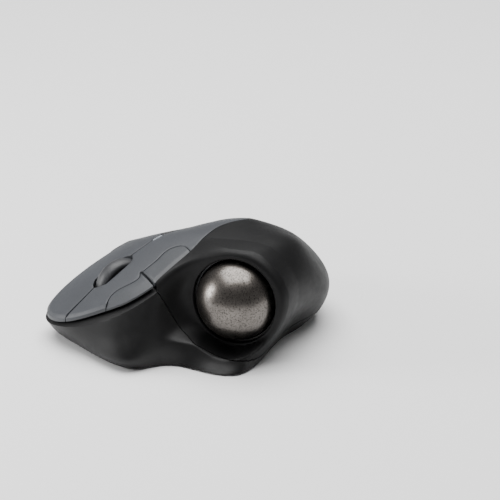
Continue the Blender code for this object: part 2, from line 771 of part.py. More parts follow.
def boss_top(tree, spot):
    """Height just under the skin all over a boss."""
    around = [(0, 0), (BOSS_RADIUS, 0), (-BOSS_RADIUS, 0), (0, BOSS_RADIUS), (0, -BOSS_RADIUS)]
    hits = [tree.ray_cast(Vector((spot[0] + x, spot[1] + y, BOSS_SPLIT)), Vector((0, 0, 1)))[0] for x, y in around]
    return min(hit[2] for hit in hits) - 0.5


def top_shell(cavity):
    """Upper shell: the palm, the ball housing and the deck below the keys."""
    rows = body_rows(even_places(COLUMNS), 0.0, FLOOR_BOTTOM, 0.0)
    made = add("top_shell", *grid_solid(rows, (*MIDDLE, float(top_height(*MIDDLE))),
                                        (*MIDDLE, FLOOR_BOTTOM)), black())
    cut(made, cavity, seam_block("seam_for_top", SEAM_GAP, WALL + 0.5 + SEAM_GAP),
        recess_block("key_recess"), ball_bore("ball_bore"), slot_block("deck_slot", DECK_DEPTH + DECK_THICKNESS, 0.6))
    tree = skin_tree()
    bosses = [column(p, BOSS_SPLIT + FIT, deck_bottom(p - (0, BOSS_RADIUS)) + 0.9 if i < 2
                     else boss_top(tree, p), BOSS_RADIUS) for i, p in enumerate(BOSSES)]
    half = BUTTON_BOARD_SIZE[1] / 2 - 1.8
    for side in (-1, 1):
        spot = BUTTON_BOARD_CENTRE + np.array((side * (BUTTON_BOARD_SIZE[0] / 2 - 1.8), half))
        bosses.append(column(spot, BUTTON_BOARD_TOP + FIT, deck_bottom(spot) + 0.9, 1.3, 12))
    merge(made, add("top_bosses", *joined(bosses), black(), cutter=True))
    holes = [column(p, BOSS_SPLIT - 2, screw_end(i) + 0.8, SCREW_RADIUS - 0.2 + FIT, 12)
             for i, p in enumerate(BOSSES)]
    posts = [SWITCH_SPOTS[name] for name in SWITCH_SPOTS] + [SPEED_SPOT]
    holes += [column(p, float(top_height(*p)) - 9, float(top_height(*p)) - DECK_DEPTH + 1,
                     POST_RADIUS + 0.8, 12) for p in posts]
    holes += [column(LIGHT_SPOT, float(top_height(*LIGHT_SPOT)) - 9,
                     float(top_height(*LIGHT_SPOT)) + 1, 1.3, 12)]
    relief = block_data(WHEEL_CENTRE, (2 * YOKE_OUTER + 1.6, 2 * YOKE_REACH + 4.8, 2 * YOKE_HALF_HEIGHT + 1.4),
                        WHEEL_BASIS)
    cut(made, add("top_holes", *joined(holes), black(), cutter=True),
        add("yoke_relief", *relief, black(), cutter=True))
    return made


DOOR_CENTRE = np.array(at(-30.8, 2.0))
CELL_CENTRE = np.array((DOOR_CENTRE[0], DOOR_CENTRE[1], FLOOR_TOP + 0.8 + CELL_RADIUS))
BAY_WIDTH = 2 * CELL_RADIUS + 1.0
BAY_LENGTH = CELL_LENGTH + CELL_TIP + 5.5
DOOR_LENGTH = BAY_LENGTH - 2.0
DOOR_WIDTH = BAY_WIDTH - 0.6
DOOR_THICKNESS = 1.6
DOOR_PIVOT = np.array((DOOR_CENTRE[0], DOOR_CENTRE[1] + DOOR_LENGTH / 2 - 0.8, FLOOR_BOTTOM + 0.8))
RECEIVER_SPOT = np.array(at(-9.5, 36.5))
KNOB_SPOT = np.array(at(-5.0, 10.0))
KNOB_SIZE = (6.0, 3.2)
KNOB_TRAVEL = 3.0
FEET = (
    (at(-19.0, -46.3), 18.0, 5.0, 0.0), (at(13.8, -35.5), 11.0, 5.0, math.radians(70)),
    (at(36.8, -4.5), 12.0, 6.0, math.radians(55)), (at(-14.0, 47.8), 16.0, 5.0, 0.0),
    (at(18.0, 30.0), 12.0, 5.0, math.radians(115)),
)
BOARD_POSTS = tuple(at(*p) for p in ((-1.0, -22.0), (-15.5, 22.5)))


def base_shell(cavity):
    """Lower shell: floor, side walls, cell bay, board posts and screw bosses."""
    rows = body_rows(even_places(COLUMNS), 0.0, FLOOR_BOTTOM, 0.0)
    made = add("base_shell", *grid_solid(rows, (*MIDDLE, float(top_height(*MIDDLE))),
                                         (*MIDDLE, FLOOR_BOTTOM)), black())
    cut(made, cavity)
    combine(made, seam_block("seam_for_base", 0.0, WALL + 0.5), "INTERSECT")
    rim = panel_outline()
    front = rail_at(0, np.linspace(FRONT_FIRST - 0.05, FRONT_LAST + 0.05, 30))
    middle = front.mean(0)
    away = front - middle
    away /= np.linalg.norm(away, axis=1)[:, None]
    outline = np.concatenate([front + away * 8.0, rim[26:]])
    cut(made, add("rim_trim", *plate_data(outline, 40.0, -DECK_DEPTH), black(), cutter=True))
    adds = [column(p, FLOOR_TOP - 0.8, BOSS_SPLIT, BOSS_RADIUS) for p in BOSSES]
    adds += [column(p, FLOOR_TOP - 0.8, BOARD_LOW - FIT, 2.6) for p in BOARD_POSTS]
    wall = 1.2
    bay_height = 9.0
    for side in (-1, 1):
        adds.append(block_data((CELL_CENTRE[0] + side * (BAY_WIDTH + wall) / 2, CELL_CENTRE[1],
                                FLOOR_TOP - 0.8 + bay_height / 2),
                               (wall, BAY_LENGTH + 0.5, bay_height)))
    merge(made, add("base_bosses", *joined(adds), black(), cutter=True))
    ends = [block_data((CELL_CENTRE[0], CELL_CENTRE[1] + side * (BAY_LENGTH + wall) / 2,
                        FLOOR_TOP - 0.8 + bay_height / 2), (BAY_WIDTH + 2 * wall - 0.4, wall, bay_height))
            for side in (-1, 1)]
    merge(made, add("bay_ends", *joined(ends), black(), cutter=True))
    holes = []
    for p in BOSSES:
        holes.append(column(p, FLOOR_BOTTOM - 1, BOSS_SPLIT + 1, SCREW_RADIUS + FIT, 12))
    holes.append(block_data((DOOR_CENTRE[0], DOOR_CENTRE[1], FLOOR_BOTTOM + 1),
                            (DOOR_WIDTH + 0.7, DOOR_LENGTH + 0.9, 6.0)))
    holes.append(block_data((*RECEIVER_SPOT, FLOOR_BOTTOM + 1),
                            (DONGLE_SIZE[0] + 0.7, DONGLE_SIZE[1] + 0.7, 6.0)))
    holes.append(block_data((KNOB_SPOT[0] + KNOB_TRAVEL / 2, KNOB_SPOT[1], FLOOR_BOTTOM + 1),
                            (KNOB_SIZE[0] + KNOB_TRAVEL + 0.8, KNOB_SIZE[1] + 0.8, 6.0)))
    holes.append(column(EJECT_SPOT, FLOOR_BOTTOM - 2, FLOOR_TOP + 2, EJECT_RADIUS, 24))
    cut(made, add("base_holes", *joined(holes), black(), cutter=True))
    sinks = [column(p, FLOOR_BOTTOM - 1, FLOOR_BOTTOM + 2.4, 2.9, 20) for p in BOSSES]
    sinks += [prism_data(rounded_plan(c, n + 0.6, w + 0.6, a), FLOOR_BOTTOM - 1, FLOOR_BOTTOM + FOOT_RECESS)
              for c, n, w, a in FEET]
    sinks += [column(p, FLOOR_TOP - 0.2, BOARD_LOW + 1, 0.95, 12) for p in BOARD_POSTS]
    cut(made, add("base_sinks", *joined(sinks), black(), cutter=True))
    return made


# ---------------------------------------------------------------- keys and buttons

FORWARD_INNER = ((1.0, -44.4), (-1.2, -41.6), (-1.5, -38.6), (-0.2, -35.4), (1.4, -31.6), (1.2, -29.0), (-1.0, -27.6))
BACK_INNER = ((-0.6, -26.5), (-1.0, -20.0), (-2.4, -13.6), (1.2, -8.6), (7.3, -8.4))
BUTTON_GAP = 0.3


def split_x(y):
    """X of the split between the keys at a given Y, along the wheel's plane."""
    return WHEEL_CENTRE[0] - (y - WHEEL_CENTRE[1]) * math.tan(WHEEL_SKEW)


def forward_outline():
    rim = rail_at(0, np.linspace(2.04, 3.96, 9))
    inner = smooth_line([at(*p) for p in reversed(FORWARD_INNER)], 3.0)
    return np.concatenate([rim, inner])


def back_outline():
    thumb = [p for p in PANEL[26:] if at(0, -26.4)[1] < p[1] < at(0, -8.6)[1] and p[0] > at(2, 0)[0]]
    start = PANEL[25] + (PANEL[26] - PANEL[25]) * 0.1
    inner = smooth_line([at(*p) for p in reversed(BACK_INNER)], 3.0)
    return np.concatenate([[start], thumb, inner])


def outline_block(name, outline, grow):
    """A tall cutter with a plan outline, grown by a gap."""
    return add(name, *prism_data(grown(outline, grow), 0.0, BODY_HEIGHT + 15), slate(), cutter=True)


def side_block(name, side):
    """Everything across the split from the key on the given side."""
    gap = side * SPLIT_GAP / 2
    near = -BODY_LENGTH
    far = BODY_LENGTH
    outline = [(split_x(near) + gap, near), (split_x(far) + gap, far),
               (-side * 2 * BODY_WIDTH, far), (-side * 2 * BODY_WIDTH, near)]
    return add(name, *prism_data(np.array(outline), -5.0, BODY_HEIGHT + 15), slate(), cutter=True)


def press_post(name, spot, top, bottom):
    return add(name, *column(spot, bottom, top, POST_RADIUS, 12), slate(), cutter=True)


def key(name, side, spot):
    """One key: half of the grey panel, with its post down to the switch."""
    made = add(name, *plate_data(PANEL, 0.0, -KEY_THICKNESS, 6.5), slate())
    cut(made, side_block(name + "_side", side), slot_block(name + "_slot", KEY_THICKNESS, 1.5))
    if side > 0:
        cut(made, outline_block("forward_gap", forward_outline(), BUTTON_GAP),
            outline_block("back_gap", back_outline(), BUTTON_GAP))
    cut(made, outline_block(name + "_speed_gap", speed_outline(), BUTTON_GAP))
    cut(made, add(name + "_light_gap", *prism_data(rounded_plan(LIGHT_SPOT, LIGHT_LENGTH + 0.6, LIGHT_WIDTH + 0.6,
                                                                math.pi / 2 + WHEEL_SKEW, 4), 0.0, BODY_HEIGHT + 15),
                  slate(), cutter=True))
    return merge(made, press_post(name + "_post", spot, float(top_height(*spot)) - KEY_THICKNESS + 0.7,
                                  SWITCH_TOP + 0.5 + KEY_PRESS))


LIGHT_LENGTH = 5.0
LIGHT_WIDTH = 1.8
KEY_PIVOT = np.array((*at(-8.0, 26.0), 36.0 * SZ))
KEY_PRESS = 0.9
BUTTON_PRESS = 0.5


def speed_outline():
    return rounded_plan(SPEED_SPOT, 7.5, 5.0, math.pi / 2 + WHEEL_SKEW, 6)


def button(name, outline, spot, low):
    made = add(name, *plate_data(outline, 0.0, -KEY_THICKNESS, 5.0), slate())
    return merge(made, press_post(name + "_post", spot, float(top_height(*spot)) - KEY_THICKNESS + 0.7, low))


def keys_and_buttons():
    key("left_key", 1, SWITCH_SPOTS["left_switch"])
    key("right_key", -1, SWITCH_SPOTS["right_switch"])
    low = SWITCH_TOP + 0.5 + BUTTON_PRESS + 0.1
    button("forward_button", forward_outline(), SWITCH_SPOTS["forward_switch"], low)
    button("back_button", back_outline(), SWITCH_SPOTS["back_switch"], low)
    speed = button("pointer_speed_button", speed_outline(), SPEED_SPOT,
                   BUTTON_BOARD_TOP + 3.4 + BUTTON_PRESS + 0.3)
    speed.data.materials[0] = dark()
    lens = material("light_lens", (0.6, 0.62, 0.6), 0.3)
    made = add("status_light_lens", *plate_data(rounded_plan(LIGHT_SPOT, LIGHT_LENGTH, LIGHT_WIDTH,
                                                             math.pi / 2 + WHEEL_SKEW, 4), 0.0, -1.2, 5), lens)
    merge(made, add("light_pipe", *column(LIGHT_SPOT, BUTTON_BOARD_TOP + 2.0,
                                          float(top_height(*LIGHT_SPOT)) - 0.6, 0.8, 10), lens, cutter=True))


# ---------------------------------------------------------------- wheel

def in_wheel(x, y, z):
    return WHEEL_CENTRE + np.array((x, y, z)) @ WHEEL_BASIS


AXLE_END = 10.2
YOKE_INNER = WHEEL_WIDTH / 2 + 0.7
YOKE_BAR = 2.4
YOKE_OUTER = YOKE_INNER + YOKE_BAR
YOKE_REACH = WHEEL_RADIUS + 1.3
YOKE_HALF_HEIGHT = 2.0
UPRIGHT_LEVEL = (YOKE_REACH + 2.0) * abs(WHEEL_BASIS[2][2]) + 2.5
CRADLE_LOW = BOARD_TOP + 2.1
CRADLE_THICKNESS = 1.2
CRADLE_PRESS = 0.6
MIDDLE_SPOT = np.array(at(-17.2, -3.3))


def wheel():
    half = WHEEL_WIDTH / 2
    rim = WHEEL_RADIUS - TYRE_DEPTH
    crown = [(WHEEL_RADIUS - half * 0.55 * (1 - math.cos(a)), half * math.sin(a))
             for a in np.linspace(-math.pi / 2, math.pi / 2, 5)]
    profile = [(rim, -half)] + crown + [(rim, half)]
    add("wheel_tyre", *turned_data(profile, WHEEL_CENTRE, WHEEL_BASIS[0], 30), rubber())
    hub = rim - FIT
    profile = [(0, -AXLE_END), (AXLE_RADIUS, -AXLE_END), (AXLE_RADIUS, -half + 0.6), (hub - 1, -half + 0.6),
               (hub, -half + 1.2), (hub, half - 1.2), (hub - 1, half - 0.6), (AXLE_RADIUS, half - 0.6),
               (AXLE_RADIUS, AXLE_END), (0, AXLE_END)]
    add("wheel_hub", *turned_data(profile, WHEEL_CENTRE, WHEEL_BASIS[0], 20), dark())


def wheel_supports():
    pin = 1.2
    made = add("wheel_yoke", *block_data(WHEEL_CENTRE, (2 * YOKE_OUTER, 2 * (YOKE_REACH + 1.8),
                                                        2 * YOKE_HALF_HEIGHT), WHEEL_BASIS), dark())
    cut(made, add("yoke_window", *block_data(WHEEL_CENTRE, (2 * YOKE_INNER, 2 * YOKE_REACH, 6), WHEEL_BASIS),
                  dark(), cutter=True))
    reach = (UPRIGHT_LEVEL + 1.4) / abs(WHEEL_BASIS[2][2])
    pins = [rod_data(in_wheel(0, s * (YOKE_REACH + 1.0), 0), in_wheel(0, s * reach, 0), pin, 12) for s in (-1, 1)]
    merge(made, add("yoke_pins", *joined(pins), dark(), cutter=True))
    cut(made, add("axle_holes", *rod_data(in_wheel(-YOKE_OUTER - 1, 0, 0), in_wheel(YOKE_OUTER + 1, 0, 0),
                                          AXLE_RADIUS + 0.3, 16), dark(), cutter=True))
    level = np.array((-math.sin(WHEEL_SKEW), math.cos(WHEEL_SKEW), 0.0))
    upright_basis = np.array((WHEEL_BASIS[0], level, (0, 0, 1)))
    slope = WHEEL_BASIS[1][2] / math.hypot(*WHEEL_BASIS[1][:2])
    plate_centre = (*WHEEL_CENTRE[:2], CRADLE_LOW + CRADLE_THICKNESS / 2)
    cradle = add("wheel_cradle", *block_data(plate_centre, (3.8, 2 * UPRIGHT_LEVEL + 3.2, CRADLE_THICKNESS),
                                             upright_basis), dark())
    uprights = []
    for side in (-1, 1):
        spot = WHEEL_CENTRE + level * side * UPRIGHT_LEVEL
        top = WHEEL_CENTRE[2] + side * slope * UPRIGHT_LEVEL + 2.6
        low = CRADLE_LOW + 0.2
        uprights.append(block_data((*spot[:2], (top + low) / 2), (4.8, 2.4, top - low), upright_basis))
    merge(cradle, add("cradle_uprights", *joined(uprights), dark(), cutter=True))
    lever_end = float((MIDDLE_SPOT - WHEEL_CENTRE[:2]) @ level[:2]) + 2.0
    lever_start = UPRIGHT_LEVEL - 0.6
    lever_low = SWITCH_TOP + 0.5 + CRADLE_PRESS + 0.2
    lever = block_data((*(WHEEL_CENTRE + level * (lever_start + lever_end) / 2)[:2], lever_low + 0.8),
                       (4.0, lever_end - lever_start, 1.6), upright_basis)
    shelf = block_data(in_wheel(0, YOKE_REACH + 1.4, -8.2), (2 * YOKE_OUTER, 4.6, 1.4), WHEEL_BASIS)
    merge(cradle, add("cradle_lever", *joined([lever, shelf]), dark(), cutter=True))
    bores = [rod_data(in_wheel(0, s * (YOKE_REACH + 2.2), 0), in_wheel(0, s * (reach + 3), 0), pin + 0.3, 12)
             for s in (-1, 1)]
    cut(cradle, add("pin_bores", *joined(bores), dark(), cutter=True))
    for side, name in ((-1, "tilt_switch_right"), (1, "tilt_switch_left")):
        add(name, *block_data(in_wheel(side * (YOKE_OUTER - 1.4), YOKE_REACH + 0.6, -5.2), (2.8, 2.8, 3.9),
                              WHEEL_BASIS), dark())
    encoder = add("scroll_encoder", *block_data(in_wheel(YOKE_OUTER + 0.3 + 1.7, 0, -1.4), (3.4, 8, 7.6),
                                                WHEEL_BASIS), dark())
    cut(encoder, add("encoder_bore", *rod_data(in_wheel(YOKE_OUTER - 1, 0, 0), in_wheel(YOKE_OUTER + 6, 0, 0),
                                               AXLE_RADIUS + 0.3, 16), dark(), cutter=True))


# ---------------------------------------------------------------- ball, cup and sensor

def support_directions():
    """Three directions from the ball's centre: straight down, and two low at the back."""
    back = -OPENING * (1, 1, 0)
    back /= np.linalg.norm(back)
    side = np.array((-back[1], back[0], 0))
    lean = math.radians(62)
    spread = math.radians(50)
    low = np.array((0, 0, -math.cos(lean)))
    return [np.array((0, 0, -1.0))] + [low + math.sin(lean) * (back * math.cos(spread) + k * side * math.sin(spread))
                                       for k in (-1, 1)]


EJECT_SPOT = BALL_CENTRE[:2] - OPENING[:2] * 8.5 * POD


def ball_and_cup():
    sides = 28
    arc = [(BALL_RADIUS * math.sin(a), -BALL_RADIUS * math.cos(a)) for a in np.linspace(0, math.pi, 15)]
    arc[0] = (0, -BALL_RADIUS)
    arc[-1] = (0, BALL_RADIUS)
    add("ball", *turned_data(arc, BALL_CENTRE, (0, 0, 1), sides), material("ball_gunmetal", (0.3, 0.28, 0.27),
                                                                           0.3, 1.0))
    inner = BALL_RADIUS + BALL_CLEARANCE
    outer = inner + CUP_WALL
    mouth = 1.2
    outside = [(outer * math.cos(a), outer * math.sin(a))
               for a in np.linspace(-math.pi / 2, math.asin(mouth / outer), 9)]
    inside = [(inner * math.cos(a), inner * math.sin(a))
              for a in np.linspace(math.asin(mouth / inner), -math.pi / 2, 9)]
    outside[0] = (0, -outer)
    inside[-1] = (0, -inner)
    profile = outside + inside
    cup = add("ball_cup", *turned_data(profile, BALL_CENTRE, OPENING, 28), dark())
    fit = [rod_data(BALL_CENTRE + d * (inner + 0.5), BALL_CENTRE + d * (outer + 2.2), 2.4, 12)
           for d in support_directions()[1:]]
    leg = 0.65 * inner
    for turn in (1.0, 3.5):
        spot = BALL_CENTRE[:2] + leg * np.array((math.cos(turn), math.sin(turn)))
        fit.append(column(spot, FLOOR_TOP + FIT, BALL_CENTRE[2] - math.sqrt(outer ** 2 - leg ** 2) + 0.3, 1.6))
    fit.append(column(BALL_CENTRE[:2] - OPENING[:2] * 1.6, FLOOR_TOP + FIT, BALL_CENTRE[2] - inner - 0.4, 2.6))
    merge(cup, add("cup_bosses", *joined(fit), dark(), cutter=True))
    seat = BALL_RADIUS + FIT + SUPPORT_RADIUS
    pockets = [turned_data([(0, -1.0 * SUPPORT_RADIUS - 0.25)]
                           + [((SUPPORT_RADIUS + 0.25) * math.sin(a), -(SUPPORT_RADIUS + 0.25) * math.cos(a))
                              for a in np.linspace(0.5, math.pi - 0.5, 4)]
                           + [(0, SUPPORT_RADIUS + 0.25)], BALL_CENTRE + d * seat, d, 9)
               for d in support_directions()]
    pockets.append(column(EJECT_SPOT, 0.0, BALL_CENTRE[2] - BALL_RADIUS + 6, EJECT_RADIUS - 0.5, 20))
    pockets.append(rod_data(BALL_CENTRE - OPENING * (inner - 2), BALL_CENTRE - OPENING * (outer + 2), 3.0, 16))
    cut(cup, add("cup_holes", *joined(pockets), dark(), cutter=True))
    limit = body_block("cup_limit", WALL + 0.4, FLOOR_TOP + 0.2, 0.0, 2 * STATION_COUNT)
    combine(cup, limit, "INTERSECT")
    for i, d in enumerate(support_directions()):
        bead = [((SUPPORT_RADIUS) * math.sin(a), -SUPPORT_RADIUS * math.cos(a))
                for a in np.linspace(0, math.pi, 6)]
        bead[0] = (0, -SUPPORT_RADIUS)
        bead[-1] = (0, SUPPORT_RADIUS)
        add(f"support_ball_{i + 1}", *turned_data(bead, BALL_CENTRE + d * seat, d, 9),
            material("ruby", (0.5, 0.05, 0.08), 0.2))
    side = np.cross((0, 0, 1), -OPENING)
    side /= np.linalg.norm(side)
    basis = np.array((side, np.cross(-OPENING, side), -OPENING))
    gap = outer + 0.4
    add("sensor_lens", *rod_data(BALL_CENTRE - OPENING * gap, BALL_CENTRE - OPENING * (gap + 2.0), 2.6, 20),
        material("clear", (0.7, 0.75, 0.75), 0.1))
    add("sensor_chip", *block_data(BALL_CENTRE - OPENING * (gap + 2.3 + 1.2), (9, 11, 2.4), basis), dark())
    add("sensor_board", *block_data(BALL_CENTRE - OPENING * (gap + 5.0 + 0.6), (17, 20, BOARD_THICKNESS), basis),
        green())


# ---------------------------------------------------------------- boards and switches

def board_outline():
    return np.array([at(-30.8, -42), at(8.5, -42), at(8.5, 28), at(-20.9, 28), at(-20.9, -28), at(-30.8, -28)])


def microswitch(name, spot, low, size, nub=0.5):
    made = add(name, *block_data((*spot, low + size[2] / 2), size), dark())
    return merge(made, add(name + "_nub", *block_data((*spot, low + size[2]), (2.0, 1.2, 2 * nub)), dark(),
                           cutter=True))


def boards():
    main = add("main_board", *prism_data(board_outline(), BOARD_LOW, BOARD_TOP), green())
    cut(main, add("board_holes", *joined([column(p, BOARD_LOW - 1, BOARD_TOP + 1, 1.2, 12)
                                          for p in BOARD_POSTS]), green(), cutter=True))
    for name, spot in SWITCH_SPOTS.items():
        microswitch(name, spot, BOARD_TOP + FIT, SWITCH_SIZE)
    microswitch("middle_switch", MIDDLE_SPOT, BOARD_TOP + FIT, SWITCH_SIZE)
    for i, spot in enumerate(BOARD_POSTS):
        shank = column(spot, FLOOR_TOP + 0.2, BOARD_TOP + 1.0, 0.8, 12)
        screw = add(f"board_screw_{i + 1}", *shank, steel())
        merge(screw, add(f"board_screw_head_{i + 1}", *column(spot, BOARD_TOP + FIT, BOARD_TOP + FIT + 1.2,
                                                              1.9, 14), steel(), cutter=True))
    low = BUTTON_BOARD_TOP - BOARD_THICKNESS
    add("button_board", *block_data((*BUTTON_BOARD_CENTRE, BUTTON_BOARD_TOP - BOARD_THICKNESS / 2),
                                    (*BUTTON_BOARD_SIZE, BOARD_THICKNESS)), green())
    microswitch("speed_switch", SPEED_SPOT, BUTTON_BOARD_TOP + FIT, (4.5, 4.5, 2.6))
    ribbon_x = BUTTON_BOARD_CENTRE[0] + BUTTON_BOARD_SIZE[0] / 2 + 0.6
    add("ribbon_cable", *block_data((ribbon_x, BUTTON_BOARD_CENTRE[1] + 2, (BOARD_TOP + FIT + low) / 2),
                                    (0.4, 6.0, low - BOARD_TOP - FIT)), material("ribbon", (0.6, 0.6, 0.62), 0.5))


# ---------------------------------------------------------------- power, receiver and underside

def power():
    x, _, z = CELL_CENTRE
    front = CELL_CENTRE[1] - BAY_LENGTH / 2
    contact = 0.5
    tip = front + FIT + contact + FIT
    start = tip + CELL_TIP
    end = start + CELL_LENGTH
    profile = [(0, tip), (CELL_TIP_RADIUS, tip), (CELL_TIP_RADIUS, start), (CELL_RADIUS - 0.5, start),
               (CELL_RADIUS, start + 0.5), (CELL_RADIUS, end - 0.5), (CELL_RADIUS - 0.5, end), (0, end)]
    add("battery", *turned_data(profile, (x, 0, z), (0, 1, 0), 24), material("cell_jacket", (0.1, 0.11, 0.13), 0.35))
    add("battery_contact", *block_data((x, front + FIT + contact / 2, z), (9.0, contact, 7.5)), steel())
    coil_start = end + FIT + 0.4
    coil_end = CELL_CENTRE[1] + BAY_LENGTH / 2 - 0.9
    turns = 3.0
    wire = 0.38
    steps = 36
    points = []
    for i in range(steps + 1):
        t = i / steps
        turn = t * turns * math.tau
        radius = 2.2 + 2.6 * t
        centre = np.array((x + radius * math.cos(turn), coil_start + (coil_end - coil_start) * t,
                           z + radius * math.sin(turn)))
        outward = np.array((math.cos(turn), 0, math.sin(turn)))
        for k in range(6):
            a = k / 6 * math.tau
            points.append(centre + outward * wire * math.cos(a) + np.array((0, wire * math.sin(a), 0)))
    faces = [(i * 6 + k, i * 6 + (k + 1) % 6, (i + 1) * 6 + (k + 1) % 6, (i + 1) * 6 + k)
             for i in range(steps) for k in range(6)]
    faces += [tuple(range(5, -1, -1)), tuple(range(steps * 6, steps * 6 + 6))]
    add("battery_spring", points, faces, steel())
    plate = block_data((*DOOR_CENTRE, FLOOR_BOTTOM + DOOR_THICKNESS / 2),
                       (DOOR_WIDTH, DOOR_LENGTH, DOOR_THICKNESS))
    made = add("battery_door", *plate, black())
    grips = [block_data((DOOR_CENTRE[0], DOOR_CENTRE[1] - DOOR_LENGTH / 2 + 6 + 1.6 * i, FLOOR_BOTTOM),
                        (8.0, 0.8, 0.8)) for i in range(4)]
    cut(made, add("door_grips", *joined(grips), black(), cutter=True))


def receiver():
    low = FLOOR_BOTTOM + 0.1
    body = DONGLE_SIZE[2]
    add("receiver_body", *block_data((*RECEIVER_SPOT, low + body / 2), DONGLE_SIZE), dark())
    plug = add("receiver_plug", *block_data((*RECEIVER_SPOT, low + body + FIT + PLUG_SIZE[2] / 2), PLUG_SIZE),
               steel())
    cut(plug, add("plug_mouth", *block_data((RECEIVER_SPOT[0], RECEIVER_SPOT[1] + 0.6,
                                             low + body + FIT + PLUG_SIZE[2] - 3),
                                            (PLUG_SIZE[0] - 1.0, PLUG_SIZE[1] - 2.0, 8.0)), steel(), cutter=True))


def underside():
    for i, spot in enumerate(BOSSES):
        screw = add(f"shell_screw_{i + 1}", *column(spot, FLOOR_BOTTOM + 0.8, FLOOR_BOTTOM + 2.1, 2.5, 16), steel())
        merge(screw, add(f"shell_screw_shank_{i + 1}", *column(spot, FLOOR_BOTTOM + 1.8, screw_end(i),
                                                               SCREW_RADIUS - 0.35, 10), steel(), cutter=True))
    for i, (spot, length, width, angle) in enumerate(FEET):
        add(f"foot_{i + 1}", *prism_data(rounded_plan(spot, length, width, angle), 0.0, FOOT_THICKNESS),
            material("glide", (0.06, 0.06, 0.065), 0.35))
    knob_low = FLOOR_BOTTOM + 0.2
    switch_low = FLOOR_TOP + 0.15
    knob = add("power_switch_knob", *block_data((*KNOB_SPOT, (knob_low + switch_low - 0.3) / 2),
                                                (*KNOB_SIZE, switch_low - 0.3 - knob_low)),
               material("switch_knob", (0.35, 0.36, 0.37), 0.5))
    ribs = [block_data((KNOB_SPOT[0] + 1.4 * i, KNOB_SPOT[1], knob_low), (0.5, KNOB_SIZE[1] + 1, 0.5))
            for i in (-1, 0, 1)]
    cut(knob, add("knob_ribs", *joined(ribs), dark(), cutter=True))
    add("power_switch_body", *block_data((KNOB_SPOT[0] + KNOB_TRAVEL / 2, KNOB_SPOT[1],
                                          (switch_low + BOARD_LOW - 0.15) / 2),
                                         (10.0, 4.2, BOARD_LOW - 0.15 - switch_low)), dark())


def turn_about(point, *names):
    """Moves the origins of moving pieces onto their joint's axis."""
    place = Vector(tuple(float(c) * MM for c in point))
    for name in names:
        made = bpy.data.objects[name]
        made.data.transform(Matrix.Translation(-place))
        made.location = place


def set_pivots():
    turn_about(KEY_PIVOT, "left_key", "right_key")
    for name in ("forward_button", "back_button"):
        spot = SWITCH_SPOTS[name.replace("button", "switch")]
        turn_about((*spot, float(top_height(*spot))), name)
    turn_about((*SPEED_SPOT, float(top_height(*SPEED_SPOT))), "pointer_speed_button")
    turn_about(WHEEL_CENTRE, "wheel_tyre", "wheel_hub", "wheel_yoke", "wheel_cradle",
               "scroll_encoder", "tilt_switch_left", "tilt_switch_right")
    turn_about(BALL_CENTRE, "ball")
    turn_about(DOOR_PIVOT, "battery_door")
    turn_about((*KNOB_SPOT, FLOOR_BOTTOM), "power_switch_knob")
    turn_about((*RECEIVER_SPOT, FLOOR_BOTTOM), "receiver_body", "receiver_plug")


def build():
    clear_scene()
    cavity = body_block("cavity", WALL, FLOOR_TOP, DECK_DEPTH + DECK_THICKNESS - WALL)
    top_shell(cavity)
    base_shell(cavity)
    keys_and_buttons()
    wheel()
    wheel_supports()
    ball_and_cup()
    boards()
    power()
    receiver()
    underside()
    set_pivots()
    for item in bpy.data.objects:
        if item.type == "MESH" and not item.hide_render:
            round_edges(item)


build()
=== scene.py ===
import math

import bpy
import bmesh
import numpy as np
from mathutils import Matrix, Vector
from mathutils.geometry import delaunay_2d_cdt


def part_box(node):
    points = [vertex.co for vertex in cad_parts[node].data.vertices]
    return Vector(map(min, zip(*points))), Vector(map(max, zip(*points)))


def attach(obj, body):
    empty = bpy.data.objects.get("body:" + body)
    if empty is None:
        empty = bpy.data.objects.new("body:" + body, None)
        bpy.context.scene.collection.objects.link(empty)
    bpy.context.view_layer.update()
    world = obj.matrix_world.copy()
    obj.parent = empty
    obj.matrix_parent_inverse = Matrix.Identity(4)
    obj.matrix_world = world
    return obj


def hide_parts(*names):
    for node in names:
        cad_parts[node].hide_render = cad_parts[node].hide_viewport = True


# Trackball mouse, worked in millimetres and turned into metres where a mesh is made.
# The nose points along -Y, the thumb side is +X.
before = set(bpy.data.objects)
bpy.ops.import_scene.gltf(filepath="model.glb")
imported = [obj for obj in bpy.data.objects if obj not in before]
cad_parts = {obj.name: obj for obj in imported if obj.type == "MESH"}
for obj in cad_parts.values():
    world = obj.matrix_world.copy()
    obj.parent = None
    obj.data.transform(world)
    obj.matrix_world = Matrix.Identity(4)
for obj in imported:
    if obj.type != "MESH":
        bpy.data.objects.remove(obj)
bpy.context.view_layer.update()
print("frame loaded:", len(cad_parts), "nodes")

# camera
cameraView = {
    "turn": 60.0,          # degrees round the object
    "lift": 23.0,
    "distance": 620.0,
    "anchor": (29.0, 2.0, 27.0),
    "aside": (-5.394, -20.332),
    "lens": 107.57,
}


def placed(name, data):
    made = bpy.data.objects.new(name, data)
    bpy.context.scene.collection.objects.link(made)
    return made


def placeCamera(view):
    turn, lift = math.radians(view["turn"]), math.radians(view["lift"])
    right = Vector((math.cos(turn), math.sin(turn), 0))
    up = Vector((-math.sin(turn) * math.sin(lift), math.cos(turn) * math.sin(lift), math.cos(lift)))
    back = right.cross(up)
    spot = Vector(view["anchor"]) + back * view["distance"]
    spot = spot - right * view["aside"][0] - up * view["aside"][1]
    lens = bpy.data.cameras.new("studioCamera")
    lens.lens = view["lens"]
    lens.sensor_width = 36
    lens.clip_start = 0.01
    holder = placed("studioCamera", lens)
    facing = Matrix((right, up, back)).transposed().to_4x4()
    holder.matrix_world = Matrix.Translation(spot * perMm) @ facing
    bpy.context.scene.camera = holder


perMm = 0.001
placeCamera(cameraView)
print("camera placed")

